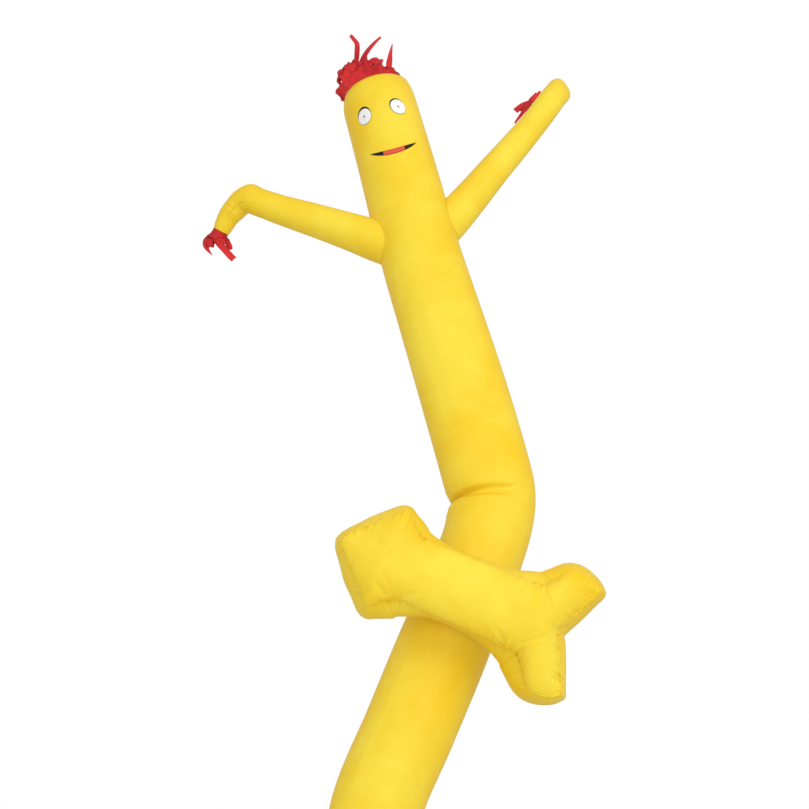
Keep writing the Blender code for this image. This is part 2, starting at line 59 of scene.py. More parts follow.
bpy.ops.object.camera_add(
    location=CAMERA_PLACE, rotation=(math.radians(90.0 + CAMERA_PITCH), 0.0, 0.0)
)
camera = bpy.context.object
camera.name = "photo_camera"
camera.data.sensor_width = SENSOR
camera.data.lens = SENSOR * FOCAL_SHARE
bpy.context.scene.camera = camera
print("lens", round(camera.data.lens, 1), "mm")

# %% [markdown]
# Cloth starts as a flat grid, the shape a maker cuts, and is then bent to where it goes.
# A grid keeps its own flat coordinates, so the weave can follow the cloth and not the room.
# These helpers add a grid, read it as rows and columns, and finish a piece.


# %% Helpers for cloth
def deselect_all():
    for obj in bpy.context.selected_objects:
        obj.select_set(False)


def flat_grid(name, columns, rows):
    """A flat grid of cells, with its vertices' column and row."""
    deselect_all()
    bpy.ops.mesh.primitive_grid_add(x_subdivisions=columns, y_subdivisions=rows, size=1.0)
    grid = bpy.context.object
    grid.name = name
    points = np.zeros(len(grid.data.vertices) * 3)
    grid.data.vertices.foreach_get("co", points)
    points = points.reshape(-1, 3)
    column = np.rint((points[:, 0] + 0.5) * columns).astype(int)
    row = np.rint((points[:, 1] + 0.5) * rows).astype(int)
    return grid, column, row


def set_points(obj, points):
    obj.data.vertices.foreach_set("co", np.asarray(points, np.float32).ravel())
    obj.data.update()


def set_uv(obj, across, along):
    """The cloth's own flat coordinates, in metres, as its UV map."""
    layer = obj.data.uv_layers[0]
    layer.name = "cloth"
    corner = np.zeros(len(obj.data.loops), int)
    obj.data.loops.foreach_get("vertex_index", corner)
    flat = np.stack([across[corner], along[corner]], axis=1)
    layer.data.foreach_set("uv", flat.astype(np.float32).ravel())


def set_attribute(obj, name, values):
    attribute = obj.data.attributes.new(name, "FLOAT", "POINT")
    attribute.data.foreach_set("value", np.asarray(values, np.float32))


def apply_modifier(obj, kind, **settings):
    deselect_all()
    obj.select_set(True)
    bpy.context.view_layer.objects.active = obj
    modifier = obj.modifiers.new(kind.lower(), kind)
    for key, value in settings.items():
        setattr(modifier, key, value)
    bpy.ops.object.modifier_apply(modifier=modifier.name)


def weld(obj, distance=0.00005):
    """Join the edges of a rolled sheet where they meet."""
    mesh = bmesh.new()
    mesh.from_mesh(obj.data)
    bmesh.ops.remove_doubles(mesh, verts=mesh.verts, dist=distance)
    bmesh.ops.recalc_face_normals(mesh, faces=mesh.faces)
    mesh.to_mesh(obj.data)
    mesh.free()


def triangles(obj):
    return sum(len(face.vertices) - 2 for face in obj.data.polygons)


def finish_cloth(obj, material, nodes, thickness=0.0008, offset=-1.0):
    """Give a sheet its thickness and its finish, and let it stand for its solids."""
    if thickness:
        apply_modifier(obj, "SOLIDIFY", thickness=thickness, offset=offset)
    obj.data.polygons.foreach_set("use_smooth", [True] * len(obj.data.polygons))
    obj.data.materials.clear()
    obj.data.materials.append(material)
    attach(obj, "root")
    for node in nodes:
        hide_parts(node)
    print(obj.name, triangles(obj), "triangles")
    return obj


# %% [markdown]
# Ripstop nylon is a thin plain weave with a heavier thread every few millimetres, which
# shows as a small grid. It is coated, so it has a soft gloss. The weave reads the cloth's
# flat coordinates. Blotches and crinkles are larger than the weave and read the piece's
# own place. A stitch line is where a distance, kept on the mesh, passes zero.


# %% Nylon material
RIPSTOP_PITCH = 0.006
RIPSTOP_THREAD = 0.09
WEAVE_PITCH = 0.0006
STITCH_PITCH = 0.004
STITCH_WIDTH = 0.0012


def add_node(tree, kind, place, **values):
    node = tree.nodes.new(kind)
    node.location = place
    for key, value in values.items():
        setattr(node, key, value)
    return node


def maths(tree, place, operation, first, second=0.5):
    """A Math node, fed by sockets or plain numbers."""
    node = add_node(tree, "ShaderNodeMath", place, operation=operation)
    for socket, value in zip(node.inputs, (first, second)):
        if isinstance(value, (int, float)):
            socket.default_value = value
        else:
            tree.links.new(value, socket)
    return node.outputs[0]


def thread_lines(tree, place, coordinate, pitch, width):
    """1 on a line every pitch, fading to 0 at the line's edge."""
    x, y = place
    turn = maths(tree, (x, y), "MULTIPLY", coordinate, 1.0 / pitch)
    wave = maths(tree, (x + 160, y), "PINGPONG", turn, 0.5)
    near = maths(tree, (x + 320, y), "DIVIDE", wave, width)
    fade = maths(tree, (x + 480, y), "SUBTRACT", 1.0, near)
    return maths(tree, (x + 640, y), "MAXIMUM", fade, 0.0)


def nylon(name, light, dark, roughness=0.48, sheen=0.06, crinkle=0.35, stitched=True):
    """A coated ripstop cloth between a light and a dark tone, as lit and in shade: random blotches, and painted
    shade that darkens it where the surface turns edge-on to the view.
    """
    material = bpy.data.materials.new(name)
    material.use_nodes = True
    tree = material.node_tree
    shader = tree.nodes["Principled BSDF"]
    shader.inputs["Sheen Weight"].default_value = sheen
    shader.inputs["Sheen Roughness"].default_value = 0.35
    shader.inputs["Specular IOR Level"].default_value = 0.16

    uv = add_node(tree, "ShaderNodeUVMap", (-1700, 200), uv_map="cloth")
    split = add_node(tree, "ShaderNodeSeparateXYZ", (-1520, 200))
    tree.links.new(uv.outputs["UV"], split.inputs[0])
    across, along = split.outputs[0], split.outputs[1]

    ribs = maths(
        tree,
        (-540, 320),
        "MAXIMUM",
        thread_lines(tree, (-1340, 420), across, RIPSTOP_PITCH, RIPSTOP_THREAD),
        thread_lines(tree, (-1340, 220), along, RIPSTOP_PITCH, RIPSTOP_THREAD),
    )
    warp = maths(tree, (-1340, 60), "SINE", maths(tree, (-1500, 60), "MULTIPLY", across, math.tau / WEAVE_PITCH))
    weft = maths(tree, (-1340, -60), "SINE", maths(tree, (-1500, -60), "MULTIPLY", along, math.tau / WEAVE_PITCH))
    weave = maths(tree, (-1160, 0), "MULTIPLY", warp, weft)

    place = add_node(tree, "ShaderNodeTexCoord", (-1700, -300))
    blotch = add_node(tree, "ShaderNodeTexNoise", (-1340, -240))
    blotch.inputs["Scale"].default_value = 2.3
    blotch.inputs["Detail"].default_value = 5.0
    blotch.inputs["Roughness"].default_value = 0.6
    tree.links.new(place.outputs["Object"], blotch.inputs["Vector"])
    folds = add_node(tree, "ShaderNodeTexNoise", (-1340, -480))
    folds.inputs["Scale"].default_value = 26.0
    folds.inputs["Detail"].default_value = 4.0
    folds.inputs["Distortion"].default_value = 0.7
    tree.links.new(place.outputs["Object"], folds.inputs["Vector"])

    tone = add_node(tree, "ShaderNodeMix", (-300, -200), data_type="RGBA")
    tone.inputs["A"].default_value = (*dark, 1.0)
    tone.inputs["B"].default_value = (*light, 1.0)
    spread = add_node(tree, "ShaderNodeMapRange", (-700, -200))
    spread.inputs["From Min"].default_value = 0.3
    spread.inputs["From Max"].default_value = 0.62
    tree.links.new(blotch.outputs["Fac"], spread.inputs["Value"])
    ribbed = maths(tree, (-520, -200), "MULTIPLY_ADD", ribs, -0.22)
    tree.links.new(spread.outputs["Result"], ribbed.node.inputs[2])
    # Painted shade: the tone is pulled towards the dark one where the surface turns away from the view, darkening
    # the edges as shade would.
    facing = add_node(tree, "ShaderNodeLayerWeight", (-700, -360))
    facing.inputs["Blend"].default_value = 0.5
    painted_edge_shade = maths(tree, (-520, -360), "POWER", facing.outputs["Facing"], 2.2)
    tone_with_painted_shade = maths(tree, (-340, -360), "SUBTRACT", ribbed, painted_edge_shade)
    tree.links.new(maths(tree, (-340, -240), "MAXIMUM", tone_with_painted_shade, 0.0), tone.inputs["Factor"])
    colour = tone.outputs["Result"]

    height = maths(tree, (-300, 260), "MULTIPLY_ADD", ribs, 0.5)
    tree.links.new(maths(tree, (-480, 120), "MULTIPLY", weave, 0.08), height.node.inputs[2])

    if stitched:
        seam = add_node(tree, "ShaderNodeAttribute", (-1700, 700), attribute_name="seam")
        run = add_node(tree, "ShaderNodeAttribute", (-1700, 900), attribute_name="run")
        away = maths(tree, (-1500, 700), "ABSOLUTE", seam.outputs["Fac"])
        on_line = maths(tree, (-1320, 700), "LESS_THAN", away, STITCH_WIDTH / 2)
        dash = maths(tree, (-1320, 900), "PINGPONG", maths(
            tree, (-1500, 900), "MULTIPLY", run.outputs["Fac"], 1.0 / STITCH_PITCH
        ), 0.5)
        thread = maths(tree, (-1140, 800), "MULTIPLY", on_line, maths(
            tree, (-1140, 960), "LESS_THAN", dash, 0.38
        ))
        sewn = add_node(tree, "ShaderNodeMix", (-100, 0), data_type="RGBA")
        sewn.inputs["B"].default_value = (*[c * 0.8 for c in dark], 1.0)
        tree.links.new(colour, sewn.inputs["A"])
        tree.links.new(maths(tree, (-900, 800), "MULTIPLY", thread, 0.5), sewn.inputs["Factor"])
        colour = sewn.outputs["Result"]
        height = maths(tree, (-120, 300), "ADD", height, thread)

    tree.links.new(colour, shader.inputs["Base Color"])
    gloss = maths(tree, (-300, -420), "MULTIPLY_ADD", folds.outputs["Fac"], 0.16)
    gloss.node.inputs[2].default_value = roughness - 0.08
    tree.links.new(gloss, shader.inputs["Roughness"])

    crumple = add_node(tree, "ShaderNodeBump", (-60, -420))
    crumple.inputs["Strength"].default_value = crinkle
    crumple.inputs["Distance"].default_value = 0.004
    tree.links.new(folds.outputs["Fac"], crumple.inputs["Height"])
    relief = add_node(tree, "ShaderNodeBump", (120, -300))
    relief.inputs["Strength"].default_value = 0.5
    relief.inputs["Distance"].default_value = 0.0003
    tree.links.new(height, relief.inputs["Height"])
    tree.links.new(crumple.outputs["Normal"], relief.inputs["Normal"])
    tree.links.new(relief.outputs["Normal"], shader.inputs["Normal"])
    return material


# Each cloth's light and dark tones are its colour as it looks lit and in shade. Random blotches spread between
# them, and the painted edge shade pulls towards the dark one.
YELLOW_LIGHT = (0.93, 0.725, 0.060)
YELLOW_DARK = (0.90, 0.600, 0.016)
RED_LIGHT = (0.80, 0.040, 0.040)
RED_DARK = (0.36, 0.004, 0.010)
CORAL_LIGHT = (0.86, 0.115, 0.075)
CORAL_DARK = (0.74, 0.070, 0.048)

yellow_nylon = nylon("yellow_ripstop", YELLOW_LIGHT, YELLOW_DARK)
red_nylon = nylon("red_ripstop", RED_LIGHT, RED_DARK, roughness=0.42, crinkle=0.6, stitched=False)
coral_nylon = nylon("coral_ripstop", CORAL_LIGHT, CORAL_DARK, stitched=False)
black_nylon = nylon("black_ripstop", (0.022, 0.020, 0.014), (0.010, 0.009, 0.007), stitched=False)
white_nylon = nylon("white_ripstop", (0.93, 0.93, 0.92), (0.86, 0.86, 0.85), stitched=False)
grey_nylon = nylon("grey_thread", (0.34, 0.34, 0.35), (0.24, 0.24, 0.25), stitched=False)
print("nylon in", len(bpy.data.materials), "materials")

# %% [markdown]
# The tube is one cloth rolled round a bent line. A table gives the line's bends and the
# half widths at a few heights, and a smooth curve reads between them. The face is at 270
# degrees, and the lengthwise seam at 90, at the back.

# %% The tube's line
BODY_SECTIONS = (
    # height, x and y from the foot, half width across, half width through
    (0.00, 0.000, 0.000, 0.2286, 0.2286),
    (0.35, 0.000, 0.000, 0.2286, 0.2286),
    (0.75, -0.095, 0.012, 0.2286, 0.2286),
    (1.08, -0.215, 0.028, 0.2286, 0.2286),
    (1.35, -0.199, 0.042, 0.2286, 0.2286),
    (1.75, -0.031, 0.060, 0.2340, 0.2230),
    (2.11, 0.121, 0.070, 0.2390, 0.2180),
    (2.45, 0.262, 0.070, 0.2330, 0.2240),
    (2.73, 0.370, 0.070, 0.2300, 0.2270),
    (2.88, 0.403, 0.070, 0.2380, 0.2180),
    (3.00, 0.407, 0.070, 0.2440, 0.2120),
    (3.12, 0.386, 0.070, 0.2460, 0.2100),
    (3.52, 0.287, 0.070, 0.2480, 0.2080),
    (4.00, 0.158, 0.070, 0.2430, 0.2135),
    (4.45, 0.036, 0.070, 0.2365, 0.2205),
    (5.04, -0.103, 0.070, 0.2286, 0.2286),
    (5.572, -0.235, 0.066, 0.2225, 0.2225),
)
HEAD_TOP = 5.572
TUBE_RADIUS = 0.2286


def read_curve(table, where):
    """The other columns of a table at places in its first, on a smooth curve."""
    table = np.array(table, float)
    where = np.asarray(where, float)
    start = np.clip(np.searchsorted(table[:, 0], where) - 1, 0, len(table) - 2)
    rows = [table[np.clip(start + step, 0, len(table) - 1)] for step in (-1, 0, 1, 2)]
    before, low, high, after = rows
    span = (high - low)[..., :1]
    t = np.clip((where[..., None] - low[..., :1]) / span, 0.0, 1.0)
    slope_in = (high - before) / (high - before)[..., :1] * span
    slope_out = (after - low) / (after - low)[..., :1] * span
    curve = low * (2 * t**3 - 3 * t**2 + 1) + slope_in * (t**3 - 2 * t**2 + t)
    curve = curve + high * (3 * t**2 - 2 * t**3) + slope_out * (t**3 - t**2)
    return curve[..., 1:]


def unit(vectors):
    return vectors / np.linalg.norm(vectors, axis=-1, keepdims=True)


def tube_centre(height):
    height = np.asarray(height, float)
    place = read_curve(BODY_SECTIONS, height)
    return np.stack([FOOT[0] + place[..., 0], FOOT[1] + place[..., 1], height], axis=-1)


def tube_axes(height):
    """The tube's direction at a height, and the two directions across it."""
    height = np.asarray(height, float)
    low, high = np.maximum(height - 0.01, 0.0), np.minimum(height + 0.01, HEAD_TOP)
    along = unit(tube_centre(high) - tube_centre(low))
    along = np.where((height < 0.06)[..., None], np.array([0.0, 0.0, 1.0]), along)
    side = unit(np.cross(np.array([0.0, 1.0, 0.0]), along))
    return along, side, np.cross(along, side)


def tube_point(height, angle, outward=0.0):
    """Points of the tube's smooth outside, or that far outside it. Angles in degrees."""
    height, angle = np.broadcast_arrays(np.asarray(height, float), np.asarray(angle, float))
    half = read_curve(BODY_SECTIONS, height)[..., 2:4]
    _, side, back = tube_axes(height)
    turn = np.radians(angle)
    across = (half[..., 0] + outward) * np.cos(turn)
    through = (half[..., 1] + outward) * np.sin(turn)
    return tube_centre(height) + side * across[..., None] + back * through[..., None]


print("tube", round(float(np.linalg.norm(np.diff(tube_centre(np.linspace(0, HEAD_TOP, 200)), axis=0), axis=1).sum()), 2), "m long")

# %% [markdown]
# Creases come from real causes. The tube buckles where it kinks, small rings of cloth bunch
# up on the inside of each bend, and seams gather the cloth beside them. Simulation would
# find its own folds, so here each is placed as on the photograph: a trough between
# two small lips that starts at one place on the cloth and runs out at another.


# %% Creases
def lip_and_trough(x):
    """A fold's section: a trough of depth 1 with a low lip on each side."""
    x = np.abs(x)
    return np.exp(-(x**1.5)) - 0.32 * np.exp(-(((x - 1.9) / 0.8) ** 2))


def crease_depth(across, along, creases):
    """How far cloth sinks at its flat places, for rows of creases: where each starts and
    ends, how far its middle bows, its half width, its depth and its fade at both ends."""
    depth = np.zeros(np.broadcast(across, along).shape)
    for x0, y0, x1, y1, bow, width, deep, fade_in, fade_out in creases:
        length = math.hypot(x1 - x0, y1 - y0)
        ux, uy = (x1 - x0) / length, (y1 - y0) / length
        t = ((across - x0) * ux + (along - y0) * uy) / length
        off = (across - x0) * -uy + (along - y0) * ux - bow * 4.0 * t * (1.0 - t)
        ends = np.clip(t / fade_in, 0.0, 1.0) * np.clip((1.0 - t) / fade_out, 0.0, 1.0)
        ends = ends * ends * (3.0 - 2.0 * ends)
        depth = depth + deep * ends * lip_and_trough(off / (width * (0.45 + 0.55 * ends)))
    return depth


def noise_field(x, y, seed, x_size, y_size):
    """Smooth noise from -1 to 1 over flat places, of a size across and along."""
    flat = zip((x / x_size).ravel(), (y / y_size).ravel())
    values = [noise.noise(Vector((a, b, seed * 7.31))) for a, b in flat]
    return np.array(values).reshape(x.shape)


def arc(angle):
    """An angle on the tube as metres of cloth round it."""
    return math.radians(angle) * TUBE_RADIUS


KINK_FOLDS = (
    # height at the left, rise to the front, half heights below and above, depth, middle
    # angle, half spread
    (2.930, 0.042, 0.038, 0.010, 0.050, 205.0, 116.0),
    (2.893, 0.052, 0.011, 0.009, 0.021, 268.0, 52.0),
    (2.945, 0.040, 0.050, 0.060, 0.020, 184.0, 66.0),
)
TUBE_CREASES = (
    # angle and height where it starts and ends, bow, half width, depth, fades
    (284.0, 2.966, 321.0, 2.996, 0.004, 0.007, 0.0065, 0.3, 0.5),
    (288.0, 2.946, 324.0, 2.958, 0.004, 0.006, 0.0060, 0.3, 0.5),
    (286.0, 2.928, 318.0, 2.922, -0.004, 0.006, 0.0050, 0.3, 0.5),
    (292.0, 2.982, 327.0, 3.022, 0.004, 0.006, 0.0040, 0.3, 0.6),
    (210.0, 2.985, 245.0, 3.010, 0.010, 0.008, 0.0040, 0.3, 0.6),
    (205.0, 2.880, 238.0, 2.905, -0.008, 0.008, 0.0045, 0.3, 0.6),
    (214.0, 2.838, 252.0, 2.862, -0.006, 0.007, 0.0030, 0.3, 0.6),
    (150.0, 2.880, 192.0, 2.902, 0.004, 0.009, 0.0060, 0.3, 0.3),
    (146.0, 2.930, 190.0, 2.936, 0.004, 0.008, 0.0050, 0.3, 0.3),
    (232.0, 1.300, 233.0, 2.230, 0.004, 0.016, -0.0022, 0.2, 0.2),
    (301.0, 3.150, 296.0, 4.500, -0.010, 0.030, 0.0018, 0.2, 0.3),
    (241.0, 3.080, 236.0, 4.300, 0.010, 0.026, 0.0016, 0.2, 0.3),
    (312.0, 4.640, 284.0, 4.560, 0.006, 0.010, 0.0035, 0.2, 0.6),
    (314.0, 4.600, 292.0, 4.500, 0.006, 0.009, 0.0030, 0.2, 0.6),
    (310.0, 4.700, 280.0, 4.680, -0.006, 0.010, 0.0026, 0.2, 0.6),
    (218.0, 4.610, 246.0, 4.640, -0.006, 0.010, 0.0026, 0.2, 0.6),
    (214.0, 4.520, 240.0, 4.480, 0.006, 0.010, 0.0024, 0.2, 0.6),
    (244.0, 2.215, 252.0, 2.120, 0.003, 0.006, 0.0030, 0.3, 0.6),
    (256.0, 2.200, 262.0, 2.095, 0.003, 0.006, 0.0026, 0.3, 0.6),
    (268.0, 2.180, 272.0, 2.080, 0.003, 0.006, 0.0024, 0.3, 0.6),
)
RING_WRINKLES = (
    # middle angle, half spread, lowest, highest, spacing, depth
    (285.0, 60.0, 1.84, 2.14, 0.018, 0.0016),
    (262.0, 90.0, 1.33, 1.60, 0.017, 0.0017),
    (212.0, 48.0, 2.72, 2.90, 0.015, 0.0015),
    (205.0, 60.0, 2.98, 3.22, 0.020, 0.0016),
    (0.0, 85.0, 0.95, 1.35, 0.024, 0.0034),
    (180.0, 80.0, 0.36, 0.74, 0.026, 0.0030),
    (165.0, 60.0, 2.74, 3.10, 0.022, 0.0040),
    (90.0, 80.0, 2.30, 2.60, 0.024, 0.0016),
    (60.0, 120.0, 3.30, 3.90, 0.030, 0.0010),
    (250.0, 120.0, 5.40, 5.57, 0.016, 0.0010),
)


def kink_depth(height, angle):
    """The deep folds where the tube buckles, on its left and front. Each is a sharp lip
    above and a soft slope below."""
    depth = np.zeros(height.shape)
    for low, rise, below, above, deep, middle, spread in KINK_FOLDS:
        turn = np.abs((angle - middle + 180.0) % 360.0 - 180.0)
        fade = np.cos(np.radians(90.0 * np.clip(turn / spread, 0.0, 1.0))) ** 0.8
        centre = low + rise * (1.0 - np.exp(-np.maximum(angle - 180.0, 0.0) / 30.0))
        off = height - centre
        off = np.abs(off) / np.where(off > 0.0, above, below)
        depth = depth + deep * fade * np.exp(-(off**1.35))
    return depth


def ring_wrinkles(height, angle):
    """Fine rings of bunched cloth on the inside of the bends."""
    depth = np.zeros(height.shape)
    around = np.radians(angle) * TUBE_RADIUS
    for i, (middle, spread, low, high, spacing, deep) in enumerate(RING_WRINKLES):
        turn = np.abs((angle - middle + 180.0) % 360.0 - 180.0) / spread
        rise = (height - (low + high) / 2.0) / ((high - low) / 2.0)
        inside = np.clip(1.0 - turn**2, 0.0, 1.0) * np.clip(1.0 - rise**2, 0.0, 1.0)
        if inside.max() <= 0.0:
            continue
        pattern = noise_field(around, height, i + 3.0, spacing * 9.0, spacing)
        depth = depth + deep * inside * (0.3 - 1.6 * np.abs(pattern)) * -1.0
    return depth


RIM_FROM = 5.472
RIM_DRAWN_IN = 0.019
RIM_UNEVEN = 0.006
RIM_MOST_AT = 190.0


def rim_draw(height, angle):
    """The head's edge is drawn in a little where the hair is sewn inside it."""
    share = np.clip((height - RIM_FROM) / (HEAD_TOP - RIM_FROM), 0.0, 1.0)
    deep = RIM_DRAWN_IN + RIM_UNEVEN * np.cos(np.radians(angle - RIM_MOST_AT))
    return deep * share**2


def tube_sink(height, angle):
    """All that the tube's cloth sinks by, at heights and angles."""
    angle = angle % 360.0
    around = np.radians(angle) * TUBE_RADIUS
    rows = [
        (arc(a0), h0, arc(a1), h1, *rest) for a0, h0, a1, h1, *rest in TUBE_CREASES
    ]
    sink = kink_depth(height, angle) + crease_depth(around, height, rows)
    sink = sink + ring_wrinkles(height, angle) + rim_draw(height, angle)
    flutes = noise_field(np.cos(np.radians(angle)), np.sin(np.radians(angle)), 1.0, 0.34, 0.34)
    swing = noise_field(around, height, 2.0, 0.5, 0.9)
    above_hem = np.clip((height - 0.06) / 0.3, 0.0, 1.0)
    return sink + above_hem * (0.0011 * flutes + 0.0018 * swing)


# %% [markdown]
# The cloth's rows are closer where the folds are fine. The hem at the foot is two layers,
# so it stands a little proud, and the head's edge is turned in once. Cloth is parted where
# air passes into the arms and the arrow. The roll's edges meet at the back.

# %% The tube
TUBE_COLUMNS = 88
TUBE_ROW_STEPS = (
    # up to, step
    (0.05, 0.010),
    (1.30, 0.0135),
    (2.20, 0.0090),
    (2.70, 0.0140),
    (3.10, 0.0060),
    (4.40, 0.0150),
    (4.80, 0.0120),
    (HEAD_TOP, 0.0135),
)
HEM_HEIGHT = 0.05
HEM_PROUD = 0.0008
HEAD_HEM = 0.016
SEAM_ANGLE = 90.0

tube_heights = [0.0]
for limit, step in TUBE_ROW_STEPS:
    start = tube_heights[-1]
    count = round((limit - start) / step)
    tube_heights += [start + (limit - start) * (i + 1) / count for i in range(count)]
tube_heights = np.array(tube_heights)
tube_rows = len(tube_heights) - 1

body_cloth, column, row = flat_grid("body_tube_cloth", TUBE_COLUMNS, tube_rows)
height = tube_heights[row]
angle = SEAM_ANGLE + 360.0 * column / TUBE_COLUMNS
proud = HEM_PROUD * (height < HEM_HEIGHT + 0.001)
set_points(body_cloth, tube_point(height, angle, proud - tube_sink(height, angle)))

line = tube_centre(tube_heights)
tube_run = np.concatenate([[0.0], np.cumsum(np.linalg.norm(np.diff(line, axis=0), axis=1))])
set_uv(body_cloth, math.tau * TUBE_RADIUS * column / TUBE_COLUMNS, tube_run[row])
from_foot = tube_run[row] - (HEM_HEIGHT - 0.003)
from_head = tube_run[row] - (tube_run[-1] - HEAD_HEM)
set_attribute(body_cloth, "seam", np.where(height < 2.0, from_foot, from_head))
set_attribute(body_cloth, "run", math.tau * TUBE_RADIUS * column / TUBE_COLUMNS)
print("tube cloth", round(math.tau * TUBE_RADIUS, 3), "by", round(tube_run[-1], 3), "m")

# %% [markdown]
# An arm is a tapered tube along its own bent line. Its root has to lie on the body's skin,
# which isn't flat. A Boolean would leave ragged triangles there, so each lengthwise thread
# of the arm starts where it leaves the body, found by halving the interval a few times.

# %% Arms
LEFT_SHOULDER_HEIGHT = 4.55
RIGHT_SHOULDER_HEIGHT = 4.70
LEFT_ARM = (
    # x, y, z from the shoulder, radius
    (-0.100, -0.005, -0.055, 0.124),
    (-0.248, -0.010, 0.002, 0.121),
    (-0.430, -0.010, 0.072, 0.108),
    (-0.627, -0.005, 0.146, 0.097),
    (-0.800, 0.000, 0.208, 0.088),
    (-0.925, 0.000, 0.257, 0.084),
    (-0.988, 0.010, 0.284, 0.083),
    (-1.038, 0.030, 0.282, 0.077),
    (-1.083, 0.060, 0.256, 0.069),
    (-1.120, 0.090, 0.224, 0.064),
    (-1.149, 0.115, 0.180, 0.058),
    (-1.172, 0.135, 0.142, 0.050),
)
RIGHT_ARM = (
    # x, y, z from the shoulder, radius
    (0.122, 0.004, -0.153, 0.115),
    (0.248, 0.004, 0.003, 0.113),
    (0.374, 0.004, 0.164, 0.103),
    (0.521, 0.004, 0.361, 0.094),
    (0.695, 0.004, 0.587, 0.085),
    (0.794, 0.004, 0.725, 0.082),
    (0.876, 0.020, 0.856, 0.080),
    (0.916, 0.062, 0.934, 0.077),
    (0.909, 0.124, 0.962, 0.070),
    (0.880, 0.184, 0.968, 0.063),
    (0.844, 0.240, 0.966, 0.056),
    (0.810, 0.290, 0.964, 0.050),
)
ARM_COLUMNS = 56
ARM_ROWS = 170
ARM_STATIONS = 120


def sweep_axes(line):
    """Axes across a bent line, carried along it without a twist."""
    along = Vector(line[1] - line[0]).normalized()
    across = along.orthogonal().normalized()
    pairs = []
    for i in range(len(line)):
        after = Vector(line[min(i + 1, len(line) - 1)] - line[max(i - 1, 0)]).normalized()
        across = along.rotation_difference(after) @ across
        along = after
        pairs.append((np.array(across), np.array(along.cross(across))))
    return np.array([a for a, _ in pairs]), np.array([b for _, b in pairs])


class Arm:
    """An arm's smooth skin, read at shares of its length and angles round it."""

    def __init__(self, rows, shoulder_height):
        table = [(i, *values) for i, values in enumerate(rows)]
        fine = read_curve(table, np.linspace(0.0, len(rows) - 1.0, ARM_STATIONS))
        self.line = fine[:, :3] + tube_centre(shoulder_height)
        self.radius = fine[:, 3]
        self.across, self.over = sweep_axes(self.line)
        steps = np.linalg.norm(np.diff(self.line, axis=0), axis=1)
        self.run = np.concatenate([[0.0], np.cumsum(steps)])
        self.length = self.run[-1]

    def read(self, values, share):
        at = np.clip(share, 0.0, 1.0) * self.length
        low = np.clip(np.searchsorted(self.run, at) - 1, 0, len(self.run) - 2)
        t = (at - self.run[low]) / (self.run[low + 1] - self.run[low])
        if values.ndim == 2:
            t = t[..., None]
        return values[low] * (1.0 - t) + values[low + 1] * t

    def point(self, share, turn, outward=0.0):
        radius = self.read(self.radius, share) + outward
        round_it = self.read(self.across, share) * np.cos(turn)[..., None]
        round_it = round_it + self.read(self.over, share) * np.sin(turn)[..., None]
        return self.read(self.line, share) + round_it * radius[..., None]


def inside_tube(points, gap=0.0):
    """Whether points lie inside the tube's skin."""
    height = points[..., 2]
    for _ in range(2):
        along, side, back = tube_axes(height)
        off = points - tube_centre(height)
        height = np.clip(height + (off * along).sum(-1) * along[..., 2], 0.0, HEAD_TOP)
    along, side, back = tube_axes(height)
    off = points - tube_centre(height)
    half = read_curve(BODY_SECTIONS, height)[..., 2:4] + gap
    across, through = (off * side).sum(-1) / half[..., 0], (off * back).sum(-1) / half[..., 1]
    return across**2 + through**2 < 1.0


def root_shares(arm, turns):
    """The share of the arm's length at which each thread leaves the body."""
    low, high = np.zeros(len(turns)), np.full(len(turns), 0.5)
    for _ in range(18):
        middle = (low + high) / 2.0
        inside = inside_tube(arm.point(middle, turns))
        low, high = np.where(inside, middle, low), np.where(inside, high, middle)
    return (low + high) / 2.0


ARM_CUFF_HEM = 0.012
ELBOW_ARC = math.radians(0.075)  # metres of cloth for each degree
ROOT_GATHER = 0.0020


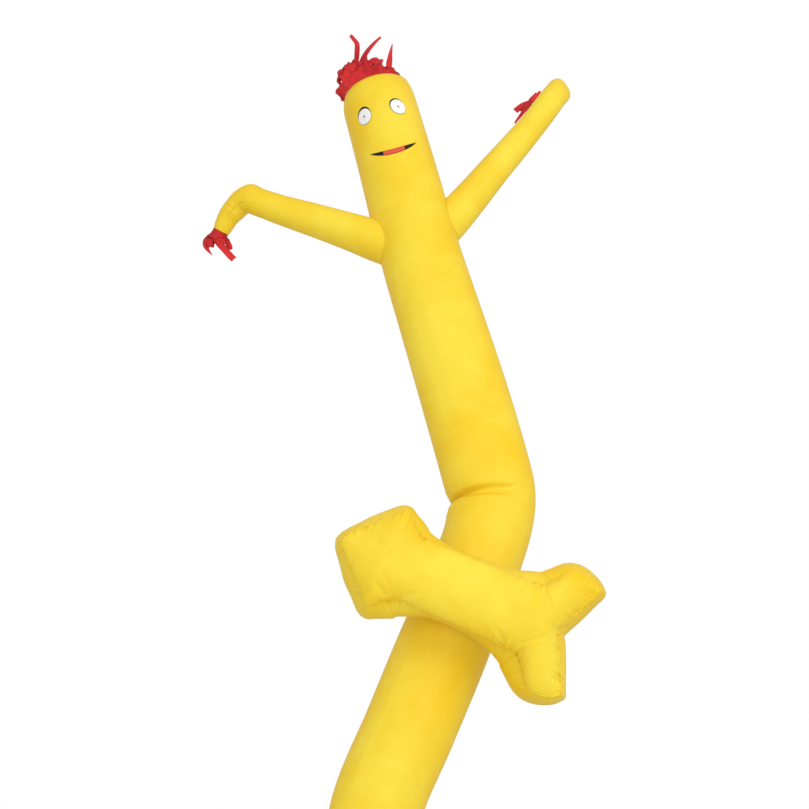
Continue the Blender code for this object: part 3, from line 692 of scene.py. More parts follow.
def arm_cloth(name, arm, creases, folds, spots, seed):
    """Roll a cloth round an arm, gathered at its root and creased at its elbow. Folds are
    rows for crease_depth, and spots are places where the cloth stands out."""
    cloth, column, row = flat_grid(name, ARM_COLUMNS, ARM_ROWS)
    turns = math.tau * np.arange(ARM_COLUMNS + 1) / ARM_COLUMNS
    roots = root_shares(arm, turns)
    turn = turns[column]
    share = roots[column] + (1.0 - roots[column]) * row / ARM_ROWS
    run = share * arm.length
    from_root = (share - roots[column]) * arm.length
    around = turn * arm.read(arm.radius, share)
    radius_now = arm.read(arm.radius, share)

    gathers = noise_field(np.cos(turn) * 0.5, np.sin(turn) * 0.5, seed, 0.055, 0.055)
    sink = ROOT_GATHER * np.abs(gathers) * np.exp(-from_root / 0.05) * np.clip(from_root / 0.01, 0.0, 1.0)
    swing = noise_field(np.cos(turn) * 0.1, share * arm.length, seed + 1.0, 0.12, 0.20)
    sink = sink + 0.0016 * swing * np.clip(from_root / 0.05, 0.0, 1.0)
    for middle, spread, start, end, spacing, deep in creases:
        off = np.abs((np.degrees(turn) - middle + 180.0) % 360.0 - 180.0) / spread
        rise = (run - (start + end) / 2.0) / ((end - start) / 2.0)
        inside = np.clip(1.0 - off**2, 0.0, 1.0) * np.clip(1.0 - rise**2, 0.0, 1.0)
        pattern = noise_field(around, run, seed + middle, spacing * 5.0, spacing)
        sink = sink + deep * inside * (1.7 * np.abs(pattern) - 0.25)
    for middle, at, half_angle, half_run, proud in spots:
        off = (np.degrees(turn) - middle + 180.0) % 360.0 - 180.0
        sink = sink - proud * np.exp(-((off / half_angle) ** 2) - ((run - at) / half_run) ** 2)
    for a0, r0, a1, r1, *rest in folds:
        off = (np.degrees(turn) - (a0 + a1) / 2.0 + 180.0) % 360.0 - 180.0
        half = (a1 - a0) / 2.0
        row_now = (-half * ELBOW_ARC, r0, half * ELBOW_ARC, r1, *rest)
        sink = sink + crease_depth(off * ELBOW_ARC, run, [row_now])
    set_points(cloth, arm.point(share, turn, -sink))
    set_uv(cloth, turn * 0.085, run)
    from_cuff = (arm.length - ARM_CUFF_HEM) - run
    set_attribute(cloth, "seam", np.where(from_root < from_cuff, from_root - 0.006, from_cuff))
    set_attribute(cloth, "run", turn * radius_now)
    weld(cloth)
    print(name, "root", round(float(roots.min() * arm.length), 3), "to", round(float(roots.max() * arm.length), 3))
    return cloth


left_arm = Arm(LEFT_ARM, LEFT_SHOULDER_HEIGHT)
right_arm = Arm(RIGHT_ARM, RIGHT_SHOULDER_HEIGHT)


def turn_towards(arm, share, direction):
    """The angle round an arm that faces a direction."""
    share = np.array([share])
    across, over = arm.read(arm.across, share)[0], arm.read(arm.over, share)[0]
    return math.degrees(math.atan2(float(over @ direction), float(across @ direction)))


def run_at_row(arm, rows, row):
    """The run along an arm at a row of its table."""
    return float(arm.run[round(row / (len(rows) - 1) * (ARM_STATIONS - 1))])


left_bend = run_at_row(left_arm, LEFT_ARM, 7.4)
left_corner = run_at_row(left_arm, LEFT_ARM, 6.0)
right_bend = run_at_row(right_arm, RIGHT_ARM, 7.0)
inner_left = turn_towards(left_arm, left_bend / left_arm.length, np.array([0.5, 0.0, -1.0]))
front_left = turn_towards(left_arm, left_bend / left_arm.length, np.array([0.0, -1.0, 0.0]))
inner_right = turn_towards(right_arm, right_bend / right_arm.length, np.array([-0.8, 0.5, -0.3]))
to_front = 1.0 if (front_left - inner_left) % 360.0 < 180.0 else -1.0
left_creases = (
    # middle angle, half spread, from and to along the arm, spacing, depth
    (inner_left, 80.0, left_bend - 0.10, left_bend + 0.10, 0.028, 0.0020),
)
right_creases = (
    (inner_right, 120.0, 0.70 * right_arm.length, 0.96 * right_arm.length, 0.022, 0.0065),
)
LEFT_FOLDS = (
    # from and to, as degrees from the elbow's inside and metres from its bend, then bow,
    # half width, depth, fades: folds that fan out from the inner corner over the front
    (25.0, -0.010, 150.0, -0.105, 0.006, 0.016, 0.0035, 0.3, 0.6),
    (22.0, 0.000, 165.0, -0.045, 0.004, 0.017, 0.0042, 0.3, 0.6),
    (22.0, 0.010, 160.0, 0.015, -0.004, 0.016, 0.0038, 0.3, 0.6),
    (25.0, 0.022, 140.0, 0.060, -0.004, 0.011, 0.0045, 0.2, 0.5),
)
left_folds = [
    (inner_left + to_front * a0, left_bend + r0, inner_left + to_front * a1, left_bend + r1, *rest)
    for a0, r0, a1, r1, *rest in LEFT_FOLDS
]
left_spots = (
    # angle, run, half angle, half run, how far the cloth stands out
    (inner_left + 180.0, left_corner, 55.0, 0.030, 0.011),
    (inner_left, left_bend + 0.055, 50.0, 0.040, 0.007),
)
left_arm_cloth = arm_cloth("left_arm_cloth", left_arm, left_creases, left_folds, left_spots, 11.0)
right_spots = (
    (inner_right + 120.0, right_bend, 30.0, 0.060, 0.008),
    (inner_right + 180.0, right_bend, 35.0, 0.060, -0.010),
    (inner_right + 240.0, right_bend, 30.0, 0.060, 0.006),
)
right_arm_cloth = arm_cloth("right_arm_cloth", right_arm, right_creases, (), right_spots, 17.0)

# %% [markdown]
# Air passes from the tube into each arm and the arrow through plain holes in the tube's
# cloth, hidden under them. They are cut by taking out the cells of the grid inside them.

# %% Air holes
ARM_PORT = 0.6
ARROW_HEIGHT = 2.35
ARROW_PORT_RADIUS = 0.06


def cut_cells(obj, inside):
    """Take out the faces whose middle is inside."""
    mesh = bmesh.new()
    mesh.from_mesh(obj.data)
    middles = np.array([face.calc_center_median() for face in mesh.faces])
    chosen = inside(middles)
    mesh.faces.ensure_lookup_table()
    doomed = [mesh.faces[i] for i in np.nonzero(chosen)[0]]
    bmesh.ops.delete(mesh, geom=doomed, context="FACES")
    mesh.to_mesh(obj.data)
    mesh.free()
    return len(doomed)


def in_port(arm):
    axis = unit(arm.line[8] - arm.line[0])
    reach = arm.radius[4] * ARM_PORT

    def test(points):
        off = points - arm.line[0]
        along = off @ axis
        away = np.linalg.norm(off - along[:, None] * axis, axis=1)
        return (along > 0.0) & (along < 0.3) & (away < reach)

    return test


def in_arrow_port(points):
    centre = tube_centre(ARROW_HEIGHT)
    away = np.hypot(points[:, 0] - centre[0], points[:, 2] - centre[2])
    return (away < ARROW_PORT_RADIUS) & (points[:, 1] < centre[1])


holes = sum(cut_cells(body_cloth, test) for test in (in_port(left_arm), in_port(right_arm), in_arrow_port))
weld(body_cloth)
finish_cloth(body_cloth, yellow_nylon, ["body_tube"])
finish_cloth(left_arm_cloth, yellow_nylon, ["left_arm"])
finish_cloth(right_arm_cloth, yellow_nylon, ["right_arm"])
print("cells cut for air:", holes)

# %% [markdown]
# The boxed arrow is three cloths: two arrow-shaped panels and the long strip round them.
# Blown up, the panels crown, the strip swells and the seams gather into short puckers at a
# right angle to the stitching. A table gives the arrow's width at stations from its tip.

# %% The arrow's shape
ARROW_TIP = (-0.588, -0.440, 0.245)
ARROW_SLOPE = math.radians(23.0)
ARROW_PITCH = math.radians(10.0)
ARROW_DEPTH = 0.27
ARROW_CROWN = 0.42
ARROW_CROWN_LIMIT = 0.27
ARROW_SEAT = 0.0028
ARROW_STATIONS = (
    # station, along at the middle and the edge, half width, swell of the strip above, below
    (0, 0.000, 0.010, 0.024, 0.041, 0.041),
    (1, 0.035, 0.045, 0.064, 0.044, 0.044),
    (2, 0.100, 0.115, 0.138, 0.050, 0.050),
    (3, 0.165, 0.185, 0.210, 0.048, 0.048),
    (4, 0.205, 0.222, 0.247, 0.044, 0.046),
    (5, 0.228, 0.244, 0.257, 0.038, 0.048),
    (6, 0.252, 0.264, 0.243, 0.040, 0.056),
    (7, 0.290, 0.296, 0.213, 0.054, 0.072),
    (8, 0.330, 0.332, 0.180, 0.060, 0.086),
    (9, 0.375, 0.375, 0.164, 0.052, 0.078),
    (10, 0.440, 0.440, 0.162, 0.038, 0.052),
    (11, 0.500, 0.500, 0.163, 0.028, 0.026),
    (12, 0.560, 0.560, 0.164, 0.024, 0.012),
    (13, 0.620, 0.620, 0.165, 0.024, 0.008),
    (14, 0.680, 0.680, 0.166, 0.026, 0.008),
    (15, 0.740, 0.740, 0.167, 0.030, 0.012),
    (16, 0.800, 0.800, 0.168, 0.036, 0.022),
    (17, 0.860, 0.860, 0.170, 0.044, 0.036),
    (18, 0.920, 0.930, 0.173, 0.062, 0.062),
    (19, 0.975, 0.996, 0.186, 0.070, 0.088),
    (20, 1.012, 1.045, 0.242, 0.060, 0.078),
    (21, 1.045, 1.088, 0.296, 0.054, 0.060),
    (22, 1.070, 1.126, 0.320, 0.046, 0.046),
    (23, 1.100, 1.178, 0.316, 0.048, 0.044),
    (24, 1.128, 1.231, 0.298, 0.047, 0.041),
    (25, 1.148, 1.268, 0.272, 0.047, 0.037),
)
LAST_STATION = 25
TAIL_FOLD_FROM = np.array((0.990, 0.170))
TAIL_FOLD_TO = np.array((1.148, 0.000))
TAIL_FOLD_SLOPE = 0.28


def arrow_point(u, w, depth):
    """A place along the arrow, across it and back through it, in the room."""
    fold = unit(TAIL_FOLD_TO - TAIL_FOLD_FROM)
    beyond = (u - TAIL_FOLD_FROM[0]) * -fold[1] + (w - TAIL_FOLD_FROM[1]) * fold[0]
    back = depth + TAIL_FOLD_SLOPE * np.maximum(beyond, 0.0)
    x = u * math.cos(ARROW_SLOPE) + w * math.sin(ARROW_SLOPE)
    up = w * math.cos(ARROW_SLOPE) - u * math.sin(ARROW_SLOPE)
    y = back * math.cos(ARROW_PITCH) - up * math.sin(ARROW_PITCH)
    z = back * math.sin(ARROW_PITCH) + up * math.cos(ARROW_PITCH)
    return np.stack([x, y, z], axis=-1) + tube_centre(ARROW_HEIGHT) + np.array(ARROW_TIP)


def station(place, t):
    """Where a share t across a station lies in the arrow's plane."""
    middle, edge, half = np.moveaxis(read_curve(ARROW_STATIONS, place)[..., :3], -1, 0)
    return middle + (edge - middle) * np.abs(t), half * t


def crown(place, t):
    half = read_curve(ARROW_STATIONS, place)[..., 2]
    half = half / (1.0 + (half / ARROW_CROWN_LIMIT) ** 4) ** 0.25
    ends = np.clip(np.minimum(place / 4.0, (LAST_STATION - place) / 5.0), 0.0, 1.0)
    across = np.clip(1.0 - t * t, 0.0, 1.0) ** 0.6
    return ARROW_CROWN * half * across * np.sin(ends * math.pi / 2.0) ** 0.8


def clear_of_tube(points, gap):
    """Move points forward until they lie in front of the tube."""
    height = points[:, 2]
    centre, side = tube_centre(height), tube_axes(height)[1]
    half = read_curve(BODY_SECTIONS, height)[:, 2:4] + gap
    share = (points[:, 0] - centre[:, 0]) * side[:, 0] / half[:, 0]
    front = centre[:, 1] - half[:, 1] * np.sqrt(np.clip(1.0 - share**2, 0.0, 1.0))
    moved = points.copy()
    moved[:, 1] = np.where(np.abs(share) < 1.0, np.minimum(points[:, 1], front), points[:, 1])
    return moved


PANEL_CREASES = (
    # from along and across, to along and across, bow, half width, depth, fades
    (0.975, -0.150, 1.120, -0.030, 0.008, 0.010, 0.0080, 0.3, 0.3),
    (0.985, -0.115, 1.095, -0.020, 0.006, 0.008, 0.0060, 0.3, 0.4),
    (1.000, -0.085, 1.070, -0.020, 0.004, 0.007, 0.0040, 0.3, 0.4),
    (0.985, 0.165, 1.140, 0.010, 0.004, 0.012, 0.0100, 0.3, 0.2),
    (1.140, 0.000, 1.060, 0.014, 0.002, 0.007, 0.0050, 0.2, 0.6),
    (1.140, -0.006, 1.050, -0.030, 0.002, 0.007, 0.0055, 0.2, 0.6),
    (1.140, 0.008, 1.075, 0.050, 0.002, 0.006, 0.0045, 0.2, 0.6),
    (0.330, -0.172, 0.215, -0.110, 0.012, 0.016, 0.0070, 0.2, 0.6),
    (0.335, -0.165, 0.280, -0.060, 0.008, 0.012, 0.0050, 0.2, 0.6),
    (0.330, 0.172, 0.235, 0.110, -0.012, 0.016, 0.0060, 0.2, 0.6),
    (0.340, 0.165, 0.300, 0.070, -0.008, 0.012, 0.0045, 0.2, 0.6),
    (0.380, -0.160, 0.480, -0.090, 0.010, 0.014, 0.0050, 0.2, 0.6),
    (0.390, 0.158, 0.480, 0.100, -0.010, 0.014, 0.0040, 0.2, 0.6),
    (0.930, 0.168, 0.840, 0.100, 0.010, 0.014, 0.0045, 0.2, 0.6),
    (0.930, -0.168, 0.830, -0.100, -0.010, 0.014, 0.0050, 0.2, 0.6),
)
PUCKER_SPACING = 0.019
PUCKER_DEPTH = 0.030
PUCKER_REACH = 0.042
PUCKER_PLAIN = 0.45
PUCKER_PLACES = (
    # station, half spread, added strength: the inner corners, the left edge and the tail
    (8.0, 1.9, 1.2),
    (18.6, 1.6, 1.5),
    (2.5, 1.8, 0.7),
    (25.0, 1.6, 1.0),
)
PANEL_ROWS, PANEL_COLUMNS = 320, 96
CROWN_SMOOTHING = 160


def puckers(run, away, place, seed):
    """Short gathers beside a seam, from the run along it and the distance off it."""
    ridge = np.abs(noise_field(run, away, seed, PUCKER_SPACING, 0.25))
    coarse = 0.6 + 0.7 * noise_field(run, away, seed + 1.0, 0.09, 0.6)
    strength = PUCKER_PLAIN + sum(
        add * np.exp(-(((place - at) / half) ** 2)) for at, half, add in PUCKER_PLACES
    )
    fade = np.exp(-((away / PUCKER_REACH) ** 1.3)) * np.clip(away / 0.004, 0.0, 1.0)
    return PUCKER_DEPTH * ridge * coarse * strength * fade


def smooth_crown(place, across, column, row):
    """The panel's swell with its hard corners eased along the arrow."""
    swell = np.zeros((PANEL_ROWS + 1, PANEL_COLUMNS + 1))
    swell[row, column] = crown(place, across)
    for _ in range(CROWN_SMOOTHING):
        swell[1:-1] = (swell[:-2] + swell[2:]) / 2.0
    return swell[row, column]


def arrow_panel(name, side, seed):
    """One crowned panel: side -1 for the front and 1 for the back."""
    cloth, column, row = flat_grid(name, PANEL_COLUMNS, PANEL_ROWS)
    across = np.sin(math.pi / 2 * (2.0 * column / PANEL_COLUMNS - 1.0))
    place = LAST_STATION * row / PANEL_ROWS
    u, w = station(place, across)
    half = read_curve(ARROW_STATIONS, place)[:, 2]
    to_end = np.minimum(station(np.full(len(place), float(LAST_STATION)), across)[0] - u, 1.0)
    away = np.minimum(half * (1.0 - np.abs(across)), to_end)
    along_seam = np.where(half * (1.0 - np.abs(across)) < to_end, u + (across < 0) * 3.0, w + 7.0)
    sink = puckers(along_seam, away, place, seed) + crease_depth(u, w, PANEL_CREASES)
    sink = sink - 0.003 * noise_field(u, w, seed + 2.0, 0.16, 0.12)
    sink = sink * np.clip(away / 0.003, 0.0, 1.0)
    swell = smooth_crown(place, across, column, row)
    points = arrow_point(u, w, side * (ARROW_DEPTH / 2 + swell - sink))
    if side > 0:
        points = clear_of_tube(points, ARROW_SEAT)
    set_points(cloth, points)
    set_uv(cloth, w, u)
    set_attribute(cloth, "seam", away - 0.005)
    set_attribute(cloth, "run", along_seam)
    weld(cloth)
    return cloth


STRIP_LEVELS = 26
STRIP_SMOOTHING = 50


def arrow_strip(name, seed):
    """The strip between the panels, all the way round the outline."""
    steps = np.linspace(0.0, LAST_STATION, PANEL_ROWS + 1)
    cross = np.sin(math.pi / 2 * np.linspace(-1.0, 1.0, PANEL_COLUMNS + 1))
    tip, tail = np.zeros(len(cross) - 2), np.full(len(cross) - 2, float(LAST_STATION))
    places = np.concatenate([steps, tail, steps[::-1], tip])
    shares = np.concatenate(
        [np.ones(len(steps)), cross[1:-1][::-1], -np.ones(len(steps)), cross[1:-1]]
    )
    u, w = station(places, shares)
    run = np.stack([np.roll(u, -1) - np.roll(u, 1), np.roll(w, -1) - np.roll(w, 1)], axis=1)
    outward = unit(np.stack([-run[:, 1], run[:, 0]], axis=1))
    for _ in range(STRIP_SMOOTHING):
        outward = unit(outward + 0.5 * (np.roll(outward, 1, axis=0) + np.roll(outward, -1, axis=0)))
    above, below = read_curve(ARROW_STATIONS, places)[:, 3:5].T
    swell = above * (1.0 + shares) / 2.0 + below * (1.0 - shares) / 2.0
    length = np.concatenate([[0.0], np.cumsum(np.hypot(np.diff(u), np.diff(w)))])
    count = len(u)

    cloth, column, row = flat_grid(name, STRIP_LEVELS, count)
    at = row % count
    level = 2.0 * column / STRIP_LEVELS - 1.0
    away = (1.0 - np.abs(level)) * ARROW_DEPTH / 2
    along = length[at] + (row == count) * 0.001
    sink = puckers(along, away, places[at], seed) * np.where(level < 0, 1.0, 0.8)
    sink = sink - 0.004 * noise_field(along, level * 0.1, seed + 2.0, 0.11, 0.09) * (away > 0.004)
    out = swell[at] * (1.0 - level**2) - sink
    points = arrow_point(
        u[at] + outward[at, 0] * out, w[at] + outward[at, 1] * out, level * ARROW_DEPTH / 2
    )
    set_points(cloth, points)
    set_uv(cloth, level * ARROW_DEPTH / 2, along)
    set_attribute(cloth, "seam", away - 0.005)
    set_attribute(cloth, "run", along)
    weld(cloth)
    return cloth, float(length[-1])


# %% [markdown]
# The two panels and the strip are now made from those helpers. They share one table, so
# their seams meet. The back panel has a hole in it, where the tube's air comes in.

# %% The arrow's cloth
arrow_front = arrow_panel("arrow_front_cloth", -1.0, 31.0)
arrow_back = arrow_panel("arrow_back_cloth", 1.0, 37.0)
arrow_side, strip_length = arrow_strip("arrow_gusset_cloth", 43.0)
cut_cells(arrow_back, in_arrow_port)
finish_cloth(arrow_front, yellow_nylon, ["arrow_front"])
finish_cloth(arrow_back, yellow_nylon, ["arrow_back"])
finish_cloth(arrow_side, yellow_nylon, ["arrow_gusset"])
print("strip", round(strip_length, 2), "m")

# %% [markdown]
# The face is sewn on: a white oval over a black one for each eye, with a small grey dot,
# and a thin black smile with a red middle. Each starts as a circle or grid drawn flat and
# is then laid on the tube's skin, following its folds.

# %% The face
EYE_HEIGHT = 5.319
EYES = (
    # name, angle, tilt, share of the plain size, black showing at the top
    ("left_eye", 234.6, 0.0, 1.0, 0.0150),
    ("right_eye", 289.6, 20.0, 1.02, 0.0095),
)
EYE_WHITE = (0.0455, 0.0505)
EYE_RING = 0.0022
PUPIL_RADIUS = 0.0065
PATCH_LIFT = 0.0012
PATCH_STEP = 0.0013
MOUTH_ANGLE, MOUTH_HEIGHT = 264.7, 5.026
MOUTH_HALF_WIDTH = 0.147
MOUTH_SAG = 0.044
MOUTH_THICKNESS = 0.032
MOUTH_TIP = 0.003
MOUTH_RED_SHARE = 0.44


def lay_on_tube(obj, x, y, angle, height, lift):
    """Lay flat places, in metres right and up from a middle, on the tube's skin."""
    heights = height + y
    angles = angle + np.degrees(x / read_curve(BODY_SECTIONS, np.full(len(x), height))[:, 2])
    set_points(obj, tube_point(heights, angles, lift - tube_sink(heights, angles)))


def oval(name, wide, tall, rise, tilt, angle, lift, rings=9, sides=56):
    """An oval patch: a disc of rings, stretched, tilted and laid on the tube."""
    deselect_all()
    bpy.ops.mesh.primitive_circle_add(vertices=sides, radius=1.0, fill_type="NGON", calc_uvs=True)
    patch = bpy.context.object
    patch.name = name
    bpy.ops.object.mode_set(mode="EDIT")
    bpy.ops.mesh.select_all(action="SELECT")
    for _ in range(rings - 1):
        bpy.ops.mesh.inset(thickness=1.0 / rings, depth=0.0)
    bpy.ops.mesh.poke()
    bpy.ops.object.mode_set(mode="OBJECT")
    points = np.zeros(len(patch.data.vertices) * 3)
    patch.data.vertices.foreach_get("co", points)
    points = points.reshape(-1, 3)
    x, y = points[:, 0] * wide, points[:, 1] * tall + rise
    turn = math.radians(tilt)
    across, up = x * math.cos(turn) - y * math.sin(turn), x * math.sin(turn) + y * math.cos(turn)
    lay_on_tube(patch, across, up, angle, EYE_HEIGHT, lift)
    set_uv(patch, across, up)
    return patch


for name, angle, tilt, size, crescent in EYES:
    black = (EYE_WHITE[0] + EYE_RING, EYE_WHITE[1] + (crescent + EYE_RING) / 2)
    layers = (
        ("black", black, (crescent - EYE_RING) / 2, black_nylon),
        ("white", EYE_WHITE, 0.0, white_nylon),
        ("pupil", (PUPIL_RADIUS, PUPIL_RADIUS), 0.0, grey_nylon),
    )
    for level, (kind, (wide, tall), rise, material) in enumerate(layers):
        lift = PATCH_LIFT + PATCH_STEP * level
        patch = oval(f"{name}_{kind}_patch", wide * size, tall * size, rise, tilt, angle, lift)
        slot_name = {"black": "black_nylon", "white": "white_nylon", "pupil": "grey_nylon"}[kind]
        finish_cloth(patch, material, [f"{name}_{kind}"])
        area = math.pi * wide * tall * size**2


def mouth(name, share, narrowing, lift, cells=72):
    patch, column, row = flat_grid(name, cells, 6)
    t = share * (2.0 * column / cells - 1.0)
    thick = MOUTH_TIP + (MOUTH_THICKNESS - MOUTH_TIP) * (1.0 - np.abs(t) ** 2.5)
    x = MOUTH_HALF_WIDTH * t
    y = MOUTH_SAG * t * t + thick * narrowing * (row / 6.0 - 0.5)
    lay_on_tube(patch, x, y, MOUTH_ANGLE, MOUTH_HEIGHT, lift)
    set_uv(patch, x, y)
    area = 2 * share * MOUTH_HALF_WIDTH * float(thick.mean()) * narrowing
    return patch, (2 * share * MOUTH_HALF_WIDTH, MOUTH_THICKNESS * narrowing), area


for name, share, narrowing, lift, material, slot_name in (
    ("mouth_black", 1.0, 1.0, PATCH_LIFT, black_nylon, "black_nylon"),
    ("mouth_red", MOUTH_RED_SHARE, 0.84, PATCH_LIFT + PATCH_STEP, coral_nylon, "red_nylon"),
):
    patch, flat, area = mouth(name + "_patch", share, narrowing, lift)
    finish_cloth(patch, material, [name])

# %% [markdown]
# Hair and hands are bands of red nylon sewn inside an edge and cut into strips. A strip is
# a long narrow grid that follows its own bent line: out of the band, then pulled about by
# the air, curling and twisting as it goes. Each row of a table is one strip, placed as on
# the photograph where it shows and like its neighbours where it doesn't.

# %% Ribbons
RIBBON_ROWS, RIBBON_COLUMNS = 24, 4
RIBBON_CURL = 0.22
RIBBON_FLUTTER = 0.007
RIBBON_OPEN = 0.85
BAND_ROWS = 20
BAND_GATHER = 0.007
BAND_CRUMPLE = 0.016
HEAD_BAND_RADIUS = 0.194


def head_ring():
    along, side, back = tube_axes(np.array(HEAD_TOP))
    return tube_centre(np.array(HEAD_TOP)), along, side, back, HEAD_BAND_RADIUS


def cuff_ring(arm):
    """A cuff's middle, its way out, and its axes: near +X, and a right angle to both."""
    along = unit(arm.line[-1] - arm.line[-3])
    side = unit(np.array([1.0, 0.0, 0.0]) - along * along[0])
    return arm.line[-1], along, side, np.cross(along, side), float(arm.radius[-1]) - 0.004


def band(name, ring, below, top_at, cells, seed, crumple, flare):
    """The band that the strips are cut from: a ring with an uneven, flaring upper edge."""
    centre, along, side, back, radius = ring
    flare_angle, flare_out = flare
    cloth, column, row = flat_grid(name, cells, BAND_ROWS)
    turn = math.tau * column / cells
    outward = side * np.cos(turn)[:, None] + back * np.sin(turn)[:, None]
    top = top_at(np.degrees(turn) % 360.0)
    distance = -below + (top + below) * row / BAND_ROWS
    free = np.clip(distance / 0.05, 0.0, 1.5)
    flat_x, flat_y = np.cos(turn) * radius, np.sin(turn) * radius
    wave = noise_field(flat_x / radius * 0.5, flat_y / radius * 0.5, seed, 0.09, 0.09)
    gather = noise_field(flat_x, flat_y, seed + 1.0, 0.016, 0.016)
    dents = noise_field(turn * radius, distance, seed + 2.0, 0.035, 0.028)
    out = crumple * wave + BAND_GATHER * gather + BAND_CRUMPLE * dents
    out = out + flare_out * np.clip(np.cos(turn - math.radians(flare_angle)), 0.0, 1.0) ** 2
    set_points(cloth, centre + along * distance[:, None] + outward * (radius + free * out)[:, None])
    set_uv(cloth, turn * radius, distance)
    weld(cloth)
    return cloth


def ribbon_sides(way, tangent, twist):
    """The directions across a strip: along the edge at its root, then opening to the
    front, with a twist as well."""
    wide, wides, faces = tangent, [], []
    for i, step in enumerate(way):
        share = i / RIBBON_ROWS
        wide = unit(wide - step * float(wide @ step))
        front = np.cross(step, np.array([0.0, -1.0, 0.0]))
        if np.linalg.norm(front) > 0.3:
            front = unit(front) * (1.0 if front @ wide >= 0.0 else -1.0)
            open_share = RIBBON_OPEN * min(3.0 * share, 1.0)
            wide_now = unit(wide * (1.0 - open_share) + front * open_share)
        else:
            wide_now = wide
        face = np.cross(step, wide_now)
        flat_turn = math.radians(twist) * share**1.2
        wides.append(wide_now * math.cos(flat_turn) + face * math.sin(flat_turn))
        faces.append(face * math.cos(flat_turn) - wide_now * math.sin(flat_turn))
    return np.array(wides), np.array(faces)


def ribbon(ring, lock, top_at, seed):
    """One strip on a curve from the band: it sets out towards a bend and ends at an
    offset from its root. Its width tapers to a share, and it twists on its way."""
    centre, along, side, back, radius = ring
    angle, width, end_share, bx, by, bz, dx, dy, dz, twist = lock
    turn = math.radians(angle)
    outward = side * math.cos(turn) + back * math.sin(turn)
    tangent = np.cross(along, outward)
    root = centre + outward * (radius - 0.002) + along * (float(top_at(angle % 360.0)) - 0.012)
    bend, end = root + np.array((bx, by, bz)), root + np.array((dx, dy, dz))

    cloth, column, row = flat_grid("ribbon", RIBBON_COLUMNS, RIBBON_ROWS)
    s = np.linspace(0.0, 1.0, RIBBON_ROWS + 1)[:, None]
    line = root * (1.0 - s) ** 2 + bend * 2.0 * s * (1.0 - s) + end * s**2
    sway = np.array([noise.noise(Vector((seed, 3.1 * t, 0.0))) for t in s[:, 0]])[:, None]
    lift = np.array([noise.noise(Vector((seed, 3.1 * t, 5.0))) for t in s[:, 0]])[:, None]
    line = line + RIBBON_FLUTTER * s * (tangent * sway + outward * lift)
    wides, faces = ribbon_sides(unit(np.gradient(line, axis=0)), tangent, twist)
    across = 2.0 * column / RIBBON_COLUMNS - 1.0
    share = row / RIBBON_ROWS
    half = width / 2 * (1.0 - (1.0 - end_share) * share**1.6)
    cup = half * RIBBON_CURL * across**2 * np.sin(share * 9.0 + seed)
    set_points(cloth, line[row] + wides[row] * (across * half)[:, None] + faces[row] * cup[:, None])
    length = float(np.linalg.norm(np.diff(line, axis=0), axis=1).sum())
    set_uv(cloth, across * half, share * length)
    return cloth, length * width * (0.62 + 0.38 * end_share)


def fringe(name, ring, locks, below, top_at, cells, seed, crumple, flare, node, hole=None):
    """A band with its strips as one piece, standing for one solid."""
    pieces = [band(name, ring, below, top_at, cells, seed, crumple, flare)]
    if hole:
        cut_cells(pieces[0], hole)
    tops = float(np.mean(top_at(np.arange(360.0))))
    area = math.tau * ring[4] * (below + tops)
    for i, lock in enumerate(locks):
        piece, cloth_area = ribbon(ring, lock, top_at, seed + 0.77 * i)
        pieces.append(piece)
        area += cloth_area
    deselect_all()
    for piece in pieces:
        piece.select_set(True)
    bpy.context.view_layer.objects.active = pieces[0]
    bpy.ops.object.join()
    joined = bpy.context.object
    finish_cloth(joined, red_nylon, [node], thickness=0.0006, offset=0.0)
    return joined


